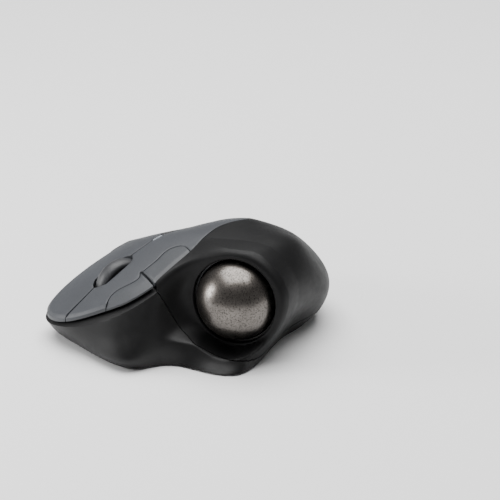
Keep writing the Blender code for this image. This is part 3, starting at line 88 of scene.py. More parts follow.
# Form of the body, worked out from these sizes as the CAD is.
bodySizes = {
    "length": 121.4,
    "width": 93.7,
    "crownRise": 5.0,           # top of the body above the top of the ball
    "wall": 2.0,
    "floorBottom": 1.0,
    "floorThickness": 2.0,
    "seamGap": 0.3,
}
keySizes = {
    "splitGap": 0.45,           # gap around each key and button
    "thickness": 2.2,
    "underGap": 1.4,            # room for a key to travel above the deck
    "deckThickness": 1.8,
}
ballSizes = {
    "radius": 17.0,
    "clearance": 0.7,
    "lipGap": 1.6,
    "openingOffset": 4.0,       # ball centre to the plane of the opening
    "openingTurn": math.radians(39.0),
    "openingTilt": math.radians(5.0),
    "ejectRadius": 5.0,
}
wheelSizes = {
    "radius": 12.3,
    "width": 7.0,
    "tyreDepth": 2.2,
    "rise": 3.0,                # how far the wheel stands out of the keys
    "skew": math.radians(7.3),
    "tilt": math.radians(3.5),
    "sides": 128,
}
cellSizes = {"radius": 7.25, "length": 49.2, "tip": 1.3}
dongleSize = (14.6, 6.4, 6.4)
fitGap = 0.3                    # clearance between pieces that rest on each other
footRecess = 0.6
screwRadius = 1.3
widthScale = bodySizes["width"] / 93.7
lengthScale = bodySizes["length"] / 121.4
ballCentre = np.array((27.0 * widthScale, 3.2 * lengthScale, ballSizes["radius"] + 9.0))
bodyHeight = ballCentre[2] + ballSizes["radius"] + bodySizes["crownRise"]
heightScale = bodyHeight / 48.0
ballScale = ballSizes["radius"] / 17.0
floorTop = bodySizes["floorBottom"] + bodySizes["floorThickness"]
deckDepth = keySizes["thickness"] + keySizes["underGap"]


def curveThrough(knots):
    # Places, heights and bends of a smooth curve through its knots.
    place = np.array([k[0] for k in knots], float)
    height = np.array([k[1] for k in knots], float)
    count = len(place)
    step = np.diff(place)
    matrix = np.eye(count)
    right = np.zeros(count)
    for i in range(1, count - 1):
        matrix[i, i - 1] = step[i - 1]
        matrix[i, i] = 2 * (step[i - 1] + step[i])
        matrix[i, i + 1] = step[i]
        right[i] = 6 * ((height[i + 1] - height[i]) / step[i]
                        - (height[i] - height[i - 1]) / step[i - 1])
    return place, height, np.linalg.solve(matrix, right)


def readCurve(curve, where):
    place, height, bend = curve
    where = np.clip(where, place[0], place[-1])
    i = np.clip(np.searchsorted(place, where) - 1, 0, len(place) - 2)
    step = place[i + 1] - place[i]
    t = where - place[i]
    slope = (height[i + 1] - height[i]) / step - step * (2 * bend[i] + bend[i + 1]) / 6
    cubic = t ** 3 * (bend[i + 1] - bend[i]) / (6 * step)
    return height[i] + t * slope + t * t * bend[i] / 2 + cubic


crownCurve = curveThrough([(y * lengthScale, z * heightScale) for y, z in (
    (-72, 4.0), (-64, 10.5), (-57, 15.8), (-43, 25.3), (-22.5, 36.6), (-7, 43.6), (5, 46.6),
    (18, 48.0), (28, 46.9), (37, 44.0), (45, 39.2), (52, 33.0), (60, 23.0), (70, 9.0))])


def topHeight(x, y):
    # Height of the top surface, highest over the thumb side and falling to the little finger.
    x = np.asarray(x, float) / widthScale
    y = np.asarray(y, float)
    along = y / lengthScale
    ridge = np.interp(along, (-60, -20, 5, 60), (-12, -4, 4, 4))
    fall = np.interp(along, (-60, -15, 15, 60), (0.0055, 0.0062, 0.0115, 0.0115))
    return readCurve(crownCurve, y) - heightScale * (0.0016 * np.maximum(0, x - ridge) ** 2
                                   + fall * np.maximum(0, ridge - x) ** 2)


def topAt(spot):
    return float(topHeight(*spot))


def at(x, y, z=None):
    # A point of the body form, scaled with the body.
    return (x * widthScale, y * lengthScale) if z is None else (x * widthScale, y * lengthScale,
                                                                z * heightScale)


def pod(dx, dy, dz):
    # A point of the housing, placed from the ball.
    return tuple(ballCentre + ballScale * np.array((dx, dy, dz)))


def makeStations():
    # Sections around the body: top edge, shoulder, middle, low wall and foot line.
    return (
        (at(-32.0, -57.8), at(-32.6, -58.8, 10.0), at(-33, -57.5, 7), at(-31.5, -55, 3),
         at(-29, -52)),
        (at(-14, -57.8), at(-13.6, -58.7, 13), at(-13, -57.8, 9.5), at(-11, -55, 4), at(-8, -51.5)),
        (at(1.5, -45.7), at(2.8, -46.6, 21), at(7.5, -48.5, 13.5), at(12.5, -49.3, 5.2),
         at(11, -46.5)),
        (at(8, -37), at(9.4, -37.6, 26), at(14.5, -40.5, 16.5), at(20.5, -42, 5.8), at(19, -39.5)),
        (at(10.4, -27), at(12, -27.6, 31.5), at(16, -29.8, 21), at(20.5, -32, 8), at(20.5, -31)),
        (at(12, -16), pod(-8.5, -14, 12.5), pod(-11.5, -16, 1), at(23.8, -21.1, 8.8),
         at(25.5, -23)),
        (at(21, 3), pod(2.5, -3.2, 18.8), pod(5, -6.5, 0), at(33.6, -11.8, 5.6), at(36.5, -16)),
        (at(27, 10.5), pod(12.5, 4.5, 14.5), pod(18, 5, 1), at(42.8, -1.4, 5.6), at(44, -4)),
        (at(26, 20), pod(11, 16, 12.5), pod(16.5, 15.5, 1), at(37.8, 13.4, 6.8), at(34.5, 13)),
        (at(22, 32), at(30.5, 35.5, 35), at(33.5, 36.5, 24), at(27.5, 31.5, 9), at(24, 28)),
        (at(14, 42), at(19.5, 48.5, 29.5), at(23, 51.5, 21), at(20.5, 48.5, 8), at(16.5, 43.5)),
        (at(-2, 47), at(-0.5, 56.5, 28), at(1, 61, 18.5), at(0, 60, 8), at(-2, 54)),
        (at(-18, 42), at(-24, 50.5, 25), at(-27, 54, 16.5), at(-27, 53.5, 8), at(-25, 48.5)),
        (at(-31, 26), at(-39, 31, 25), at(-43.5, 33.5, 17), at(-44, 33, 8), at(-40, 30)),
        (at(-36, 6), at(-43.5, 7, 26), at(-47, 7.5, 17), at(-47, 7, 8), at(-43, 6.5)),
        (at(-39.5, -18), at(-44, -18, 24.5), at(-46, -18, 16.5), at(-45.5, -17.5, 8),
         at(-41.5, -17)),
        (at(-38.6, -42), at(-40.8, -42.6, 17.5), at(-42.5, -41.5, 12), at(-42, -40, 6),
         at(-39, -37.5)),
    )


stationList = makeStations()
stationCount = len(stationList)
bodyMiddle = np.array(at(-4, 2))


def railAt(level, where):
    # Points of one rail at station numbers, on a closed smooth curve through its stations.
    points = np.array([s[level] for s in stationList], float)
    count = stationCount
    matrix = np.zeros((count, count))
    for i in range(count):
        matrix[i, i] = 4 / 6
        matrix[i, (i + 1) % count] = 1 / 6
        matrix[i, i - 1] = 1 / 6
    control = np.linalg.solve(matrix, points)
    where = np.asarray(where, float) % count
    base = np.floor(where).astype(int)
    t = (where - base)[:, None]

    def near(k):
        return control[(base + k) % count]

    return ((1 - t) ** 3 * near(-1) + (3 * t ** 3 - 6 * t ** 2 + 4) * near(0)
            + (-3 * t ** 3 + 3 * t ** 2 + 3 * t + 1) * near(1) + t ** 3 * near(2)) / 6


def unitRows(rows):
    return rows / np.linalg.norm(rows, axis=1)[:, None]


def grown(outline, gap):
    # A closed anticlockwise plan outline moved outwards by a gap, with its corners kept square.
    before = unitRows(outline - np.roll(outline, 1, axis=0))
    after = unitRows(np.roll(outline, -1, axis=0) - outline)
    first = np.c_[before[:, 1], -before[:, 0]]
    second = np.c_[after[:, 1], -after[:, 0]]
    middle = unitRows(first + second)
    reach = gap / np.maximum((middle * first).sum(1), 0.3)
    return outline + middle * reach[:, None]


def smoothStep(t):
    t = np.clip(t, 0, 1)
    return t * t * (3 - 2 * t)


def findOpeningAxis():
    flat = math.cos(ballSizes["openingTilt"])
    return np.array((math.sin(ballSizes["openingTurn"]) * flat,
                     -math.cos(ballSizes["openingTurn"]) * flat,
                     math.sin(ballSizes["openingTilt"])))


openingAxis = findOpeningAxis()
openingCentre = ballCentre + openingAxis * ballSizes["openingOffset"] * ballScale
chinFade = 3.4
lipRadius = math.sqrt(ballSizes["radius"] ** 2
                      - (ballSizes["openingOffset"] * ballScale) ** 2) + ballSizes["lipGap"]


def flattenOpening(points, lowReach):
    # Draws the housing onto the plane of the ball's opening, with its own reach of fade below it.
    offset = points - openingCentre
    height = offset @ openingAxis
    flat = offset - height[..., None] * openingAxis
    radius = np.linalg.norm(flat, axis=-1)
    down = smoothStep((-flat[..., 2] / np.maximum(radius, 0.001) - 0.45) / 0.4)
    fade = 12.0 * ballScale + (lowReach - 12.0 * ballScale) * down
    weight = (1 - smoothStep((radius - lipRadius
                              - 0.8) / fade)) * (height > -0.82 * ballSizes["radius"])
    return points - (weight * height)[..., None] * openingAxis


def smoothProfile(rails, steps):
    # Rows between the rails, on a centripetal curve through them in every column.
    rails = np.concatenate([2 * rails[:1] - rails[1:2], rails, 2 * rails[-1:] - rails[-2:-1]])

    def span(a, b):
        return np.maximum(np.linalg.norm(b - a, axis=1), 1e-6) ** 0.5

    def mix(a, b, ta, tb, t):
        return a * ((tb - t) / (tb - ta))[:, None] + b * ((t - ta) / (tb - ta))[:, None]

    rows = []
    for s in range(1, len(rails) - 2):
        p0, p1, p2, p3 = rails[s - 1:s + 3]
        t0 = np.zeros(rails.shape[1])
        t1 = t0 + span(p0, p1)
        t2 = t1 + span(p1, p2)
        t3 = t2 + span(p2, p3)
        for j in range(steps[s - 1]):
            part = j / steps[s - 1]
            if s == 4:
                part = 1 - (1 - part) ** 1.7
            t = t1 + (t2 - t1) * part
            a1 = mix(p0, p1, t0, t1, t)
            a2 = mix(p1, p2, t1, t2, t)
            a3 = mix(p2, p3, t2, t3, t)
            rows.append(mix(mix(a1, a2, t0, t2, t), mix(a2, a3, t1, t3, t), t1, t2, t))
    rows.append(rails[-2])
    return np.array(rows)


def inward(points, amount):
    # A closed plan curve moved inwards.
    along = np.roll(points, -1, axis=0) - np.roll(points, 1, axis=0)
    return points + unitRows(np.c_[-along[:, 1], along[:, 0]]) * amount


def evenPlaces(columns):
    return np.arange(columns) / columns * stationCount


palmEase = {"passes": 40, "first": 6.9, "last": 15.2}


def easePalm(skin, where, fine):
    # Softens the turn from the crown to the palm's walls.
    weight = smoothStep((where - palmEase["first"]) / 1.4) * smoothStep((palmEase["last"]
                                                                         - where) / 1.6)
    count = len(skin)
    rows = np.arange(count)
    fade = smoothStep(rows / (3.0 * fine)) * smoothStep((count - 4.5 * fine - rows) / (4.0 * fine))
    share = 0.5 * fade[:, None, None] * weight[None, :, None]
    clear = keyDistance(skin[:, :, :2].reshape(-1, 2)).reshape(skin.shape[:2])
    share = share * smoothStep((clear - 1.0) / 6.0)[:, :, None]
    for _ in range(palmEase["passes"]):
        near = skin.copy()
        near[1:-1] = (skin[:-2] + skin[2:]) / 2
        skin = skin + share * (near - skin)
    return skin


def bodyRows(where, wall, footHeight, underKeys, fine=1):
    # Rows of the body's skin at station numbers, from crown to foot line, moved inwards by wall.
    edge, shoulder, middle, low, foot = [railAt(k, where) for k in range(5)]
    edge = inward(edge, wall)
    foot = inward(foot, wall)

    def shrink(rail, drop):
        return np.c_[inward(rail[:, :2], wall), rail[:, 2] - drop]

    def cap(plan):
        depth = wall + underKeys * smoothStep(1.0 - keyDistance(plan) / 3.0)
        return np.c_[plan, topHeight(plan[:, 0], plan[:, 1]) - depth]

    nearEdge = 0.96
    rows = [cap(bodyMiddle + (edge - bodyMiddle) * nearEdge * j / (5 * fine))
            for j in range(1, 5 * fine)]
    rim = cap(edge)
    shoulder = shrink(shoulder, 0.6 * wall)
    shoulder[:, 2] = np.minimum(shoulder[:, 2], rim[:, 2] - 0.4)
    walls = smoothProfile(np.array([
        cap(bodyMiddle + (edge - bodyMiddle) * nearEdge), rim, shoulder, shrink(middle, 0),
        np.c_[inward(low[:, :2], wall), np.maximum(low[:, 2], footHeight + 1.2)],
        np.c_[foot, np.full(len(where), footHeight)]]), [n * fine for n in (1, 2, 3, 5, 2)])
    skin = np.concatenate([np.array(rows), walls])
    if fine > 1 and wall == 0:
        skin = easePalm(skin, where, fine)
    lowReach = 12.0 if wall else chinFade
    skin = flattenOpening(skin + openingAxis * wall, lowReach * ballScale) - openingAxis * wall
    skin[-1, :, 2] = footHeight
    return skin


def smoothLine(points, spacing):
    # An open smooth curve through plan points, at about the given spacing.
    points = np.array(points, float)
    ends = np.concatenate([2 * points[:1] - points[1:2], points, 2 * points[-1:] - points[-2:-1]])
    out = []
    for i in range(1, len(ends) - 2):
        steps = max(1, round(np.linalg.norm(ends[i + 1] - ends[i]) / spacing))
        for j in range(steps):
            t = j / steps
            out.append(0.5 * (2 * ends[i] + (ends[i + 1] - ends[i - 1]) * t
                              + (2 * ends[i - 1] - 5 * ends[i] + 4 * ends[i + 1]
                                 - ends[i + 2]) * t * t
                              + (3 * ends[i] - ends[i - 1] - 3 * ends[i + 1]
                                 + ends[i + 2]) * t ** 3))
    out.append(points[-1])
    return np.array(out)


frontFirst = -1.75         # station where the keys' outer edge leaves the rim, little-finger side
frontLast = 4.0            # station where it leaves the rim, thumb side

frontCount = 90              # points along the keys' front edge


def panelOutline(spacing=0.9):
    # Plan outline of the grey keys and tongue, anticlockwise from the little-finger side.
    front = railAt(0, np.linspace(frontFirst, frontLast, frontCount))
    thumb = smoothLine([front[-1], at(9.0, -17.5), at(7.6, -8.0), at(2.6, 1.5), at(-1.4, 10.0),
                         at(-2.6, 18.0), at(-3.4, 24.0), at(-6.5, 28.5)], spacing)
    little = smoothLine([at(-6.5, 28.5), at(-12.0, 28.0), at(-20.0, 20.0), at(-29.0, 6.0),
                          at(-36.0, -8.0), front[0]], spacing)
    return np.concatenate([front, thumb[1:], little[1:-1]])


def nearestDistance(plan, outline):
    # Signed distance from plan points to a closed outline, negative inside.
    plan = np.atleast_2d(plan)
    start = outline
    end = np.roll(outline, -1, axis=0)
    edge = end - start
    offset = plan[:, None, :] - start[None]
    t = np.clip((offset * edge).sum(2) / (edge ** 2).sum(1), 0, 1)
    gap = np.linalg.norm(offset - t[..., None] * edge, axis=2).min(1)
    above = (start[None, :, 1] > plan[:, None, 1]) != (end[None, :, 1] > plan[:, None, 1])
    rise = np.where(edge[:, 1] == 0, 1e-9, edge[:, 1])
    crossing = start[:, 0] + (plan[:, None, 1] - start[:, 1]) * edge[:, 0] / rise
    inside = (above & (plan[:, None, 0] < crossing)).sum(1) % 2 == 1
    return np.where(inside, -gap, gap)


panelLine = panelOutline()


def keyDistance(plan):
    return nearestDistance(plan, panelLine)


def ringAround(axis, sides):
    # Directions around an axis, a unit long.
    across = np.cross(axis, (0, 0, 1) if abs(axis[2]) < 0.9 else (1, 0, 0))
    across /= np.linalg.norm(across)
    up = np.cross(axis, across)
    turn = np.arange(sides) / sides * math.tau
    return np.cos(turn)[:, None] * across + np.sin(turn)[:, None] * up


def rodData(start, end, radius, sides=24):
    # Points and faces of a round bar between two points.
    start = np.array(start, float)
    end = np.array(end, float)
    ring = ringAround((end - start) / np.linalg.norm(end - start), sides)
    points = np.concatenate([start + ring * radius, end + ring * radius])
    faces = [(i, (i + 1) % sides, sides + (i + 1) % sides, sides + i) for i in range(sides)]
    faces += [tuple(range(sides)), tuple(range(2 * sides - 1, sides - 1, -1))]
    return points, faces


def blockData(centre, size, basis=None):
    # Points and faces of a block, turned to three basis directions when given.
    centre = np.array(centre, float)
    basis = np.eye(3) if basis is None else basis
    corners = [(x, y, z) for z in (-0.5, 0.5) for y in (-0.5, 0.5) for x in (-0.5, 0.5)]
    points = [centre + (np.array(c) * size) @ basis for c in corners]
    faces = [(0, 2, 3, 1), (4, 5, 7, 6), (0, 1, 5, 4), (2, 6, 7, 3), (0, 4, 6, 2), (1, 3, 7, 5)]
    return points, faces


def joined(pieces):
    # Several separate shapes as one list of points and faces.
    points = []
    faces = []
    for piecePoints, pieceFaces in pieces:
        shift = len(points)
        points += [tuple(p) for p in piecePoints]
        faces += [tuple(i + shift for i in face) for face in pieceFaces]
    return points, faces


def turnedData(profile, centre, axis, sides):
    # A closed profile of (radius, height) points turned about an axis; radius 0 closes a pole.
    centre = np.array(centre, float)
    axis = np.array(axis, float)
    ring = ringAround(axis, sides)
    points = []
    rows = []
    for radius, height in profile:
        if radius == 0:
            rows.append([len(points)] * sides)
            points.append(centre + axis * height)
        else:
            rows.append([len(points) + i for i in range(sides)])
            points += list(centre + axis * height + ring * radius)
    faces = []
    closed = profile[0][0] != 0
    pairs = list(zip(rows, rows[1:])) + ([(rows[-1], rows[0])] if closed else [])
    for low, high in pairs:
        for i in range(sides):
            j = (i + 1) % sides
            face = []
            for index in (low[i], low[j], high[j], high[i]):
                if index not in face:
                    face.append(index)
            if len(face) > 2:
                faces.append(tuple(face))
    return points, faces


def roundedPlan(centre, length, width, angle=0.0, steps=8):
    # Plan outline of a bar with round ends.
    radius = width / 2
    reach = length / 2 - radius
    along = np.array((math.cos(angle), math.sin(angle)))
    across = np.array((-along[1], along[0]))
    points = []
    for side in (1, -1):
        for i in range(steps + 1):
            turn = -math.pi / 2 + math.pi * i / steps
            points.append(np.array(centre) + side * (along * (reach + radius * math.cos(turn))
                                                     + across * radius * math.sin(turn)))
    return np.array(points)


def prismFaces(count):
    faces = [(i, (i + 1) % count, count + (i + 1) % count, count + i) for i in range(count)]
    return faces + [tuple(range(count - 1, -1, -1)), tuple(range(count, 2 * count))]


def prismData(outline, low, high):
    points = [(p[0], p[1], level) for level in (low, high) for p in outline]
    return points, prismFaces(len(outline))


def plateData(outline, above, below, spacing=7.0):
    # A closed plate that follows the top surface between two offsets from it.
    outline = np.array(outline)
    low = outline.min(0)
    high = outline.max(0)
    xs = np.arange(low[0] + spacing / 2, high[0], spacing)
    ys = np.arange(low[1] + spacing / 2, high[1], spacing)
    grid = np.array([(x, y) for x in xs for y in ys])
    if len(grid):
        grid = grid[nearestDistance(grid, outline) < -0.4 * spacing]
    plan = [Vector(p) for p in outline] + [Vector(p) for p in grid]
    edges = [(i, (i + 1) % len(outline)) for i in range(len(outline))]
    verts, _, tris, _, _, _ = delaunay_2d_cdt(plan, edges, [tuple(range(len(outline)))], 1, 1e-5)
    flat = np.array([tuple(v) for v in verts])
    height = topHeight(flat[:, 0], flat[:, 1])
    count = len(flat)
    points = list(np.c_[flat, height + above]) + list(np.c_[flat, height + below])
    faces = [tuple(t) for t in tris] + [tuple(i + count for i in reversed(t)) for t in tris]
    used = {}
    for tri in tris:
        for a, b in zip(tri, list(tri[1:]) + [tri[0]]):
            used[(a, b)] = used.get((a, b), 0) + 1
    for a, b in list(used):
        if (b, a) not in used:
            faces.append((b, a, a + count, b + count))
    return points, faces


def gridSolid(rows, centreTop, centreBottom):
    # A closed body from rings of points, with a fan at each end.
    count = rows.shape[1]
    points = [tuple(p) for row in rows for p in row] + [tuple(centreTop), tuple(centreBottom)]
    top = len(points) - 2
    bottom = top + 1
    faces = [(top, i, (i + 1) % count) for i in range(count)]
    for r in range(len(rows) - 1):
        for i in range(count):
            j = (i + 1) % count
            faces.append((r * count + i, (r + 1) * count + i, (r + 1) * count + j, r * count + j))
    last = (len(rows) - 1) * count
    faces += [(bottom, last + (i + 1) % count, last + i) for i in range(count)]
    return points, faces


rimCount = 240             # points round the rim
seamStart = 4.06           # station where the seam leaves the keys on the thumb side
seamEnd = 15.2             # station where it meets them again
seamHeights = curveThrough([(where, z * heightScale) for where, z in (
    (4.0, 32.6), (4.15, 27.3), (4.3, 22.8), (4.47, 18.5), (4.68, 14.4), (5.0, 11.5), (5.48, 8.6),
    (5.92, 6.2), (6.4, 5.3), (7.0, 5.1), (7.6, 4.5), (8.3, 4.9), (9.3, 6.6), (11.0, 8.7),
    (13.0, 9.4), (14.0, 10.2), (14.6, 12.6), (15.0, 17.4), (15.3, 24.0))])


def seamCurve(where):
    # Points of the seam on the skin, with the skin's outward direction at each.
    rows = bodyRows(where, 0.0, bodySizes["floorBottom"], 0.0, 6)
    height = readCurve(seamHeights, where)
    along = np.gradient(rows, axis=1)
    down = np.gradient(rows, axis=0)
    points = []
    outward = []
    for i in range(len(where)):
        column = rows[:, i]
        r = int(np.argmax(column[:, 2] < height[i]))
        t = (height[i] - column[r - 1, 2]) / (column[r, 2] - column[r - 1, 2])
        points.append(column[r - 1] * (1 - t) + column[r] * t)
        across = np.cross(down[r, i], along[r, i])
        outward.append(across / np.linalg.norm(across))
    return np.array(points), np.array(outward)


def ledgeHeight(plan, gap):
    # The seam's inner edge under the deck that the keys sit on.
    return topHeight(plan[:, 0], plan[:, 1]) - deckDepth - keySizes["deckThickness"] + 0.3 + gap


def seamBlock(name, gap, inset):
    # Everything below the seam: the base's share of the body, widened by a gap for the top's cut.
    slide = gap / 11.0
    before = np.concatenate([np.arange(0, 4.0, 0.25), (4.0 + slide, 4.03 + slide)])
    after = np.concatenate([(15.23 - slide, 15.26 - slide), np.arange(15.5, stationCount, 0.25)])
    openPlaces = np.concatenate([np.arange(seamStart, 5.6, 0.11), np.arange(5.6, 8.6, 0.2),
                                  np.arange(8.6, 14.2, 0.37), np.arange(14.3, seamEnd, 0.1)])
    guide = np.concatenate([[seamStart - 0.1], openPlaces, [seamEnd]])
    points, outward = seamCurve(guide)
    along = np.gradient(points, axis=0)
    upward = unitRows(np.cross(outward, along))
    points = (points + upward * gap)[1:]
    for _ in range(4):
        padded = np.concatenate([outward[:1], outward, outward[-1:]])
        outward = unitRows(padded[1:-1] + 0.5 * padded[:-2] + 0.5 * padded[2:])
    outward = outward[1:]
    inner = points - outward * (bodySizes["wall"] + 0.5) + np.array((0, 0, gap))
    low = np.maximum(inner[:, 2], floorTop + 0.5 + gap)
    inner[:, 2] = np.minimum(low, ledgeHeight(inner, gap))
    outer = points + outward * 8.0

    def rimRows(where):
        rim = railAt(0, evenPlaces(rimCount))
        edge = inward(rim, inset)
        step = inward(rim, inset - 0.05)
        index = np.asarray(where) / stationCount * rimCount

        def pick(curve):
            plan = [np.interp(index, np.arange(rimCount + 1), np.append(curve[:, k], curve[0, k]))
                    for k in (0, 1)]
            return np.array(plan).T

        edge = pick(edge)
        walls = np.c_[pick(step), np.full(len(edge), bodyHeight + 20.0)]
        return np.c_[edge, ledgeHeight(edge, gap)], walls

    firstInner, firstOuter = rimRows(before)
    lastInner, lastOuter = rimRows(after)
    inner = np.concatenate([firstInner, inner, lastInner])
    outer = np.concatenate([firstOuter, outer, lastOuter])
    far = np.c_[bodyMiddle + (outer[:, :2] - bodyMiddle) * 2.4, outer[:, 2]]
    rows = np.array([inner, outer, far, np.c_[far[:, :2], np.full(len(far), -20.0)]])
    return newObject(name, *gridSolid(rows, (*bodyMiddle, 12.0 * heightScale + gap),
                                      (*bodyMiddle, -20.0)))


def frontFan(past):
    # Points along the keys' front edge, with their directions away from its middle.
    front = railAt(0, np.linspace(frontFirst - past, frontLast + past, frontCount))
    return front, unitRows(front - front.mean(0))


def recessBlock(name):
    # The space that the keys sit in, open past the rim at the front.
    front, away = frontFan(0)
    spread = np.interp(np.linspace(0, 1, frontCount), (0, 0.04, 0.96, 1),
                       (keySizes["splitGap"], 5, 5, 1.2))
    widened = grown(panelLine, keySizes["splitGap"])
    outline = np.concatenate([front + away * spread[:, None], widened[len(front):]])
    return newObject(name, *plateData(outline, 12.0, -deckDepth))


bossSpots = tuple(np.array(at(*p)) for p in ((-31.3, -45.6), (-6.5, -45.4), (-28, 41), (8, 41)))


def wheelFrame():
    # Wheel centre and its directions: axle, fore-and-aft along the slope, and outward.
    axle = np.array((math.cos(wheelSizes["skew"]), math.sin(wheelSizes["skew"]), 0.0))
    level = np.array((-math.sin(wheelSizes["skew"]), math.cos(wheelSizes["skew"]), 0.0))
    spot = np.array(at(-16.4, -33.2))
    ahead = spot + level[:2] * 4
    behind = spot - level[:2] * 4
    slope = (topHeight(*ahead) - topHeight(*behind)) / 8
    fore = level + np.array((0, 0, float(slope)))
    fore /= np.linalg.norm(fore)
    out = np.cross(axle, fore)
    surface = np.array((*spot, topAt(spot)))
    centre = surface + out * (wheelSizes["rise"] - wheelSizes["radius"])
    return centre, np.array((axle, fore, out))


wheelCentre, wheelBasis = wheelFrame()
wheelSide = wheelSizes["radius"] * math.sin(wheelSizes["tilt"]) + 0.45


def slotCorners(depth, spare, point):
    # The wheel opening's outline in the wheel's own directions, long enough at a given depth.
    half = wheelSizes["width"] / 2 + wheelSide
    below = wheelSizes["radius"] - wheelSizes["rise"] - depth * abs(wheelBasis[2][2])
    reach = math.sqrt(wheelSizes["radius"] ** 2 - below ** 2) + spare
    taper = half * 0.55
    return [(0, -reach - point), (taper, -reach), (half, -reach + 2.5), (half, reach - 2.5),
            (taper, reach), (0, reach + point), (-taper, reach), (-half, reach - 2.5),
            (-half, -reach + 2.5), (-taper, -reach)]


wheelTop = wheelCentre + wheelBasis[2] * (wheelSizes["radius"] - wheelSizes["rise"])


def slotBlock(name, depth, point):
    # The opening that the wheel stands in, with pointed ends.
    local = slotCorners(depth, 0.9, point)
    points = [wheelTop + wheelBasis[0] * x + wheelBasis[1] * y + wheelBasis[2] * level
              for level in (-9.0, 6.0) for x, y in local]
    return newObject(name, points, prismFaces(len(local)))


speedSpot = np.array(at(-21.0, -3.4))
lightSpot = np.array(at(-18.9, -10.3))


def column(spot, low, high, radius, sides=12):
    return rodData((spot[0], spot[1], low), (spot[0], spot[1], high), radius, sides)


doorCentre = np.array(at(-30.8, 2.0))
cellCentre = np.array((doorCentre[0], doorCentre[1], floorTop + 0.8 + cellSizes["radius"]))
bayWidth = 2 * cellSizes["radius"] + 1.0
bayLength = cellSizes["length"] + cellSizes["tip"] + 5.5
doorLength = bayLength - 2.0
doorWidth = bayWidth - 0.6
receiverSpot = np.array(at(-9.5, 36.5))
knobSpot = np.array(at(-5.0, 10.0))
knobSize = (6.0, 3.2)
knobTravel = 3.0
footSpots = (
    (at(-19.0, -46.3), 18.0, 5.0, 0.0), (at(13.8, -35.5), 11.0, 5.0, math.radians(70)),
    (at(36.8, -4.5), 12.0, 6.0, math.radians(55)), (at(-14.0, 47.8), 16.0, 5.0, 0.0),
    (at(18.0, 30.0), 12.0, 5.0, math.radians(115)),
)
forwardInner = ((1.0, -44.4), (-1.2, -41.6), (-1.5, -38.6), (-0.2, -35.4), (1.4, -31.6),
                (1.2, -29.0), (-1.0, -27.6))
backInner = ((-0.6, -26.5), (-1.0, -20.0), (-2.4, -13.6), (1.2, -8.6), (7.3, -8.4))
buttonGap = 0.3


def splitX(y):
    # X of the split between the keys at a given Y, along the wheel's plane.
    return wheelCentre[0] - (y - wheelCentre[1]) * math.tan(wheelSizes["skew"])


def forwardOutline():
    rim = railAt(0, np.linspace(2.04, 3.96, 40))
    inner = smoothLine([at(*p) for p in reversed(forwardInner)], 0.8)
    return np.concatenate([rim, inner])


def thumbEdge(first, front, back):
    # The panel's thumb-side points between two places along the body.
    return np.array([p for p in panelLine[first:]
                     if at(0, front)[1] < p[1] < at(0, back)[1] and p[0] > at(2, 0)[0]])


def backOutline():
    thumb = thumbEdge(frontCount, -26.4, -8.6)
    start = panelLine[frontCount - 1] + (panelLine[frontCount] - panelLine[frontCount - 1]) * 0.3
    inner = smoothLine([at(*p) for p in reversed(backInner)], 0.8)
    return np.concatenate([[start], thumb, inner])


def speedOutline():
    return roundedPlan(speedSpot, 7.5, 5.0, math.pi / 2 + wheelSizes["skew"], 14)


ejectSpot = ballCentre[:2] - openingAxis[:2] * 8.5 * ballScale

def newObject(name, points, faces, smoothAngle=35.0):
    # An object from points in millimetres, its faces turned outwards.
    mesh = bpy.data.meshes.new(name)
    mesh.from_pydata([tuple(float(c) * perMm for c in p) for p in points], [], faces)
    shape = bmesh.new()
    shape.from_mesh(mesh)
    bmesh.ops.recalc_face_normals(shape, faces=shape.faces)
    shape.to_mesh(mesh)
    shape.free()
    made = placed(name, mesh)
    finishShading(made, smoothAngle)
    return made


def finishShading(made, smoothAngle=35.0):
    made.data.shade_smooth()
    made.data.set_sharp_from_angle(angle=math.radians(smoothAngle))


def combine(made, cutter, how):
    step = made.modifiers.new(how.lower(), "BOOLEAN")
    step.operation = how
    step.solver = "EXACT"
    step.object = cutter


def settle(made, *cutters):
    # Applies the modifiers and takes the cutters away.
    bpy.context.view_layer.update()
    depsgraph = bpy.context.evaluated_depsgraph_get()
    mesh = bpy.data.meshes.new_from_object(made.evaluated_get(depsgraph))
    made.modifiers.clear()
    made.data = mesh
    for cutter in cutters:
        bpy.data.objects.remove(cutter, do_unlink=True)
    finishShading(made)
    print("made", made.name, len(mesh.polygons), "faces")
    return made


def carve(made, *cutters):
    for cutter in cutters:
        combine(made, cutter, "DIFFERENCE")
    return settle(made, *cutters)


def wear(made, finish, body, slotName, *nodes):
    # Gives a piece its finish, and puts it in the frame in place of its CAD nodes.
    made.data.materials.clear()
    made.data.materials.append(finish)
    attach(made, body)
    if nodes:
        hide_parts(*nodes)
    return made


# finishes


def nodeSet(name):
    made = bpy.data.materials.new(name)
    made.use_nodes = True
    tree = made.node_tree
    place = tree.nodes.new("ShaderNodeTexCoord")
    return made, tree, tree.nodes["Principled BSDF"], place.outputs["Object"]


def feed(tree, node, inputs):
    # Gives a node's inputs their values, or links them to another node's output.
    for name, value in inputs.items():
        if isinstance(value, bpy.types.NodeSocket):
            tree.links.new(value, node.inputs[name])
        else:
            node.inputs[name].default_value = value
    return node


def nodeOf(tree, kind, inputs=None, **values):
    made = tree.nodes.new(kind)
    for key, value in values.items():
        setattr(made, key, value)
    return feed(tree, made, inputs or {})


def noiseOf(tree, where, scale, detail=2.0, rough=0.5):
    return nodeOf(tree, "ShaderNodeTexNoise", {
        "Vector": where, "Scale": scale, "Detail": detail, "Roughness": rough}).outputs["Fac"]


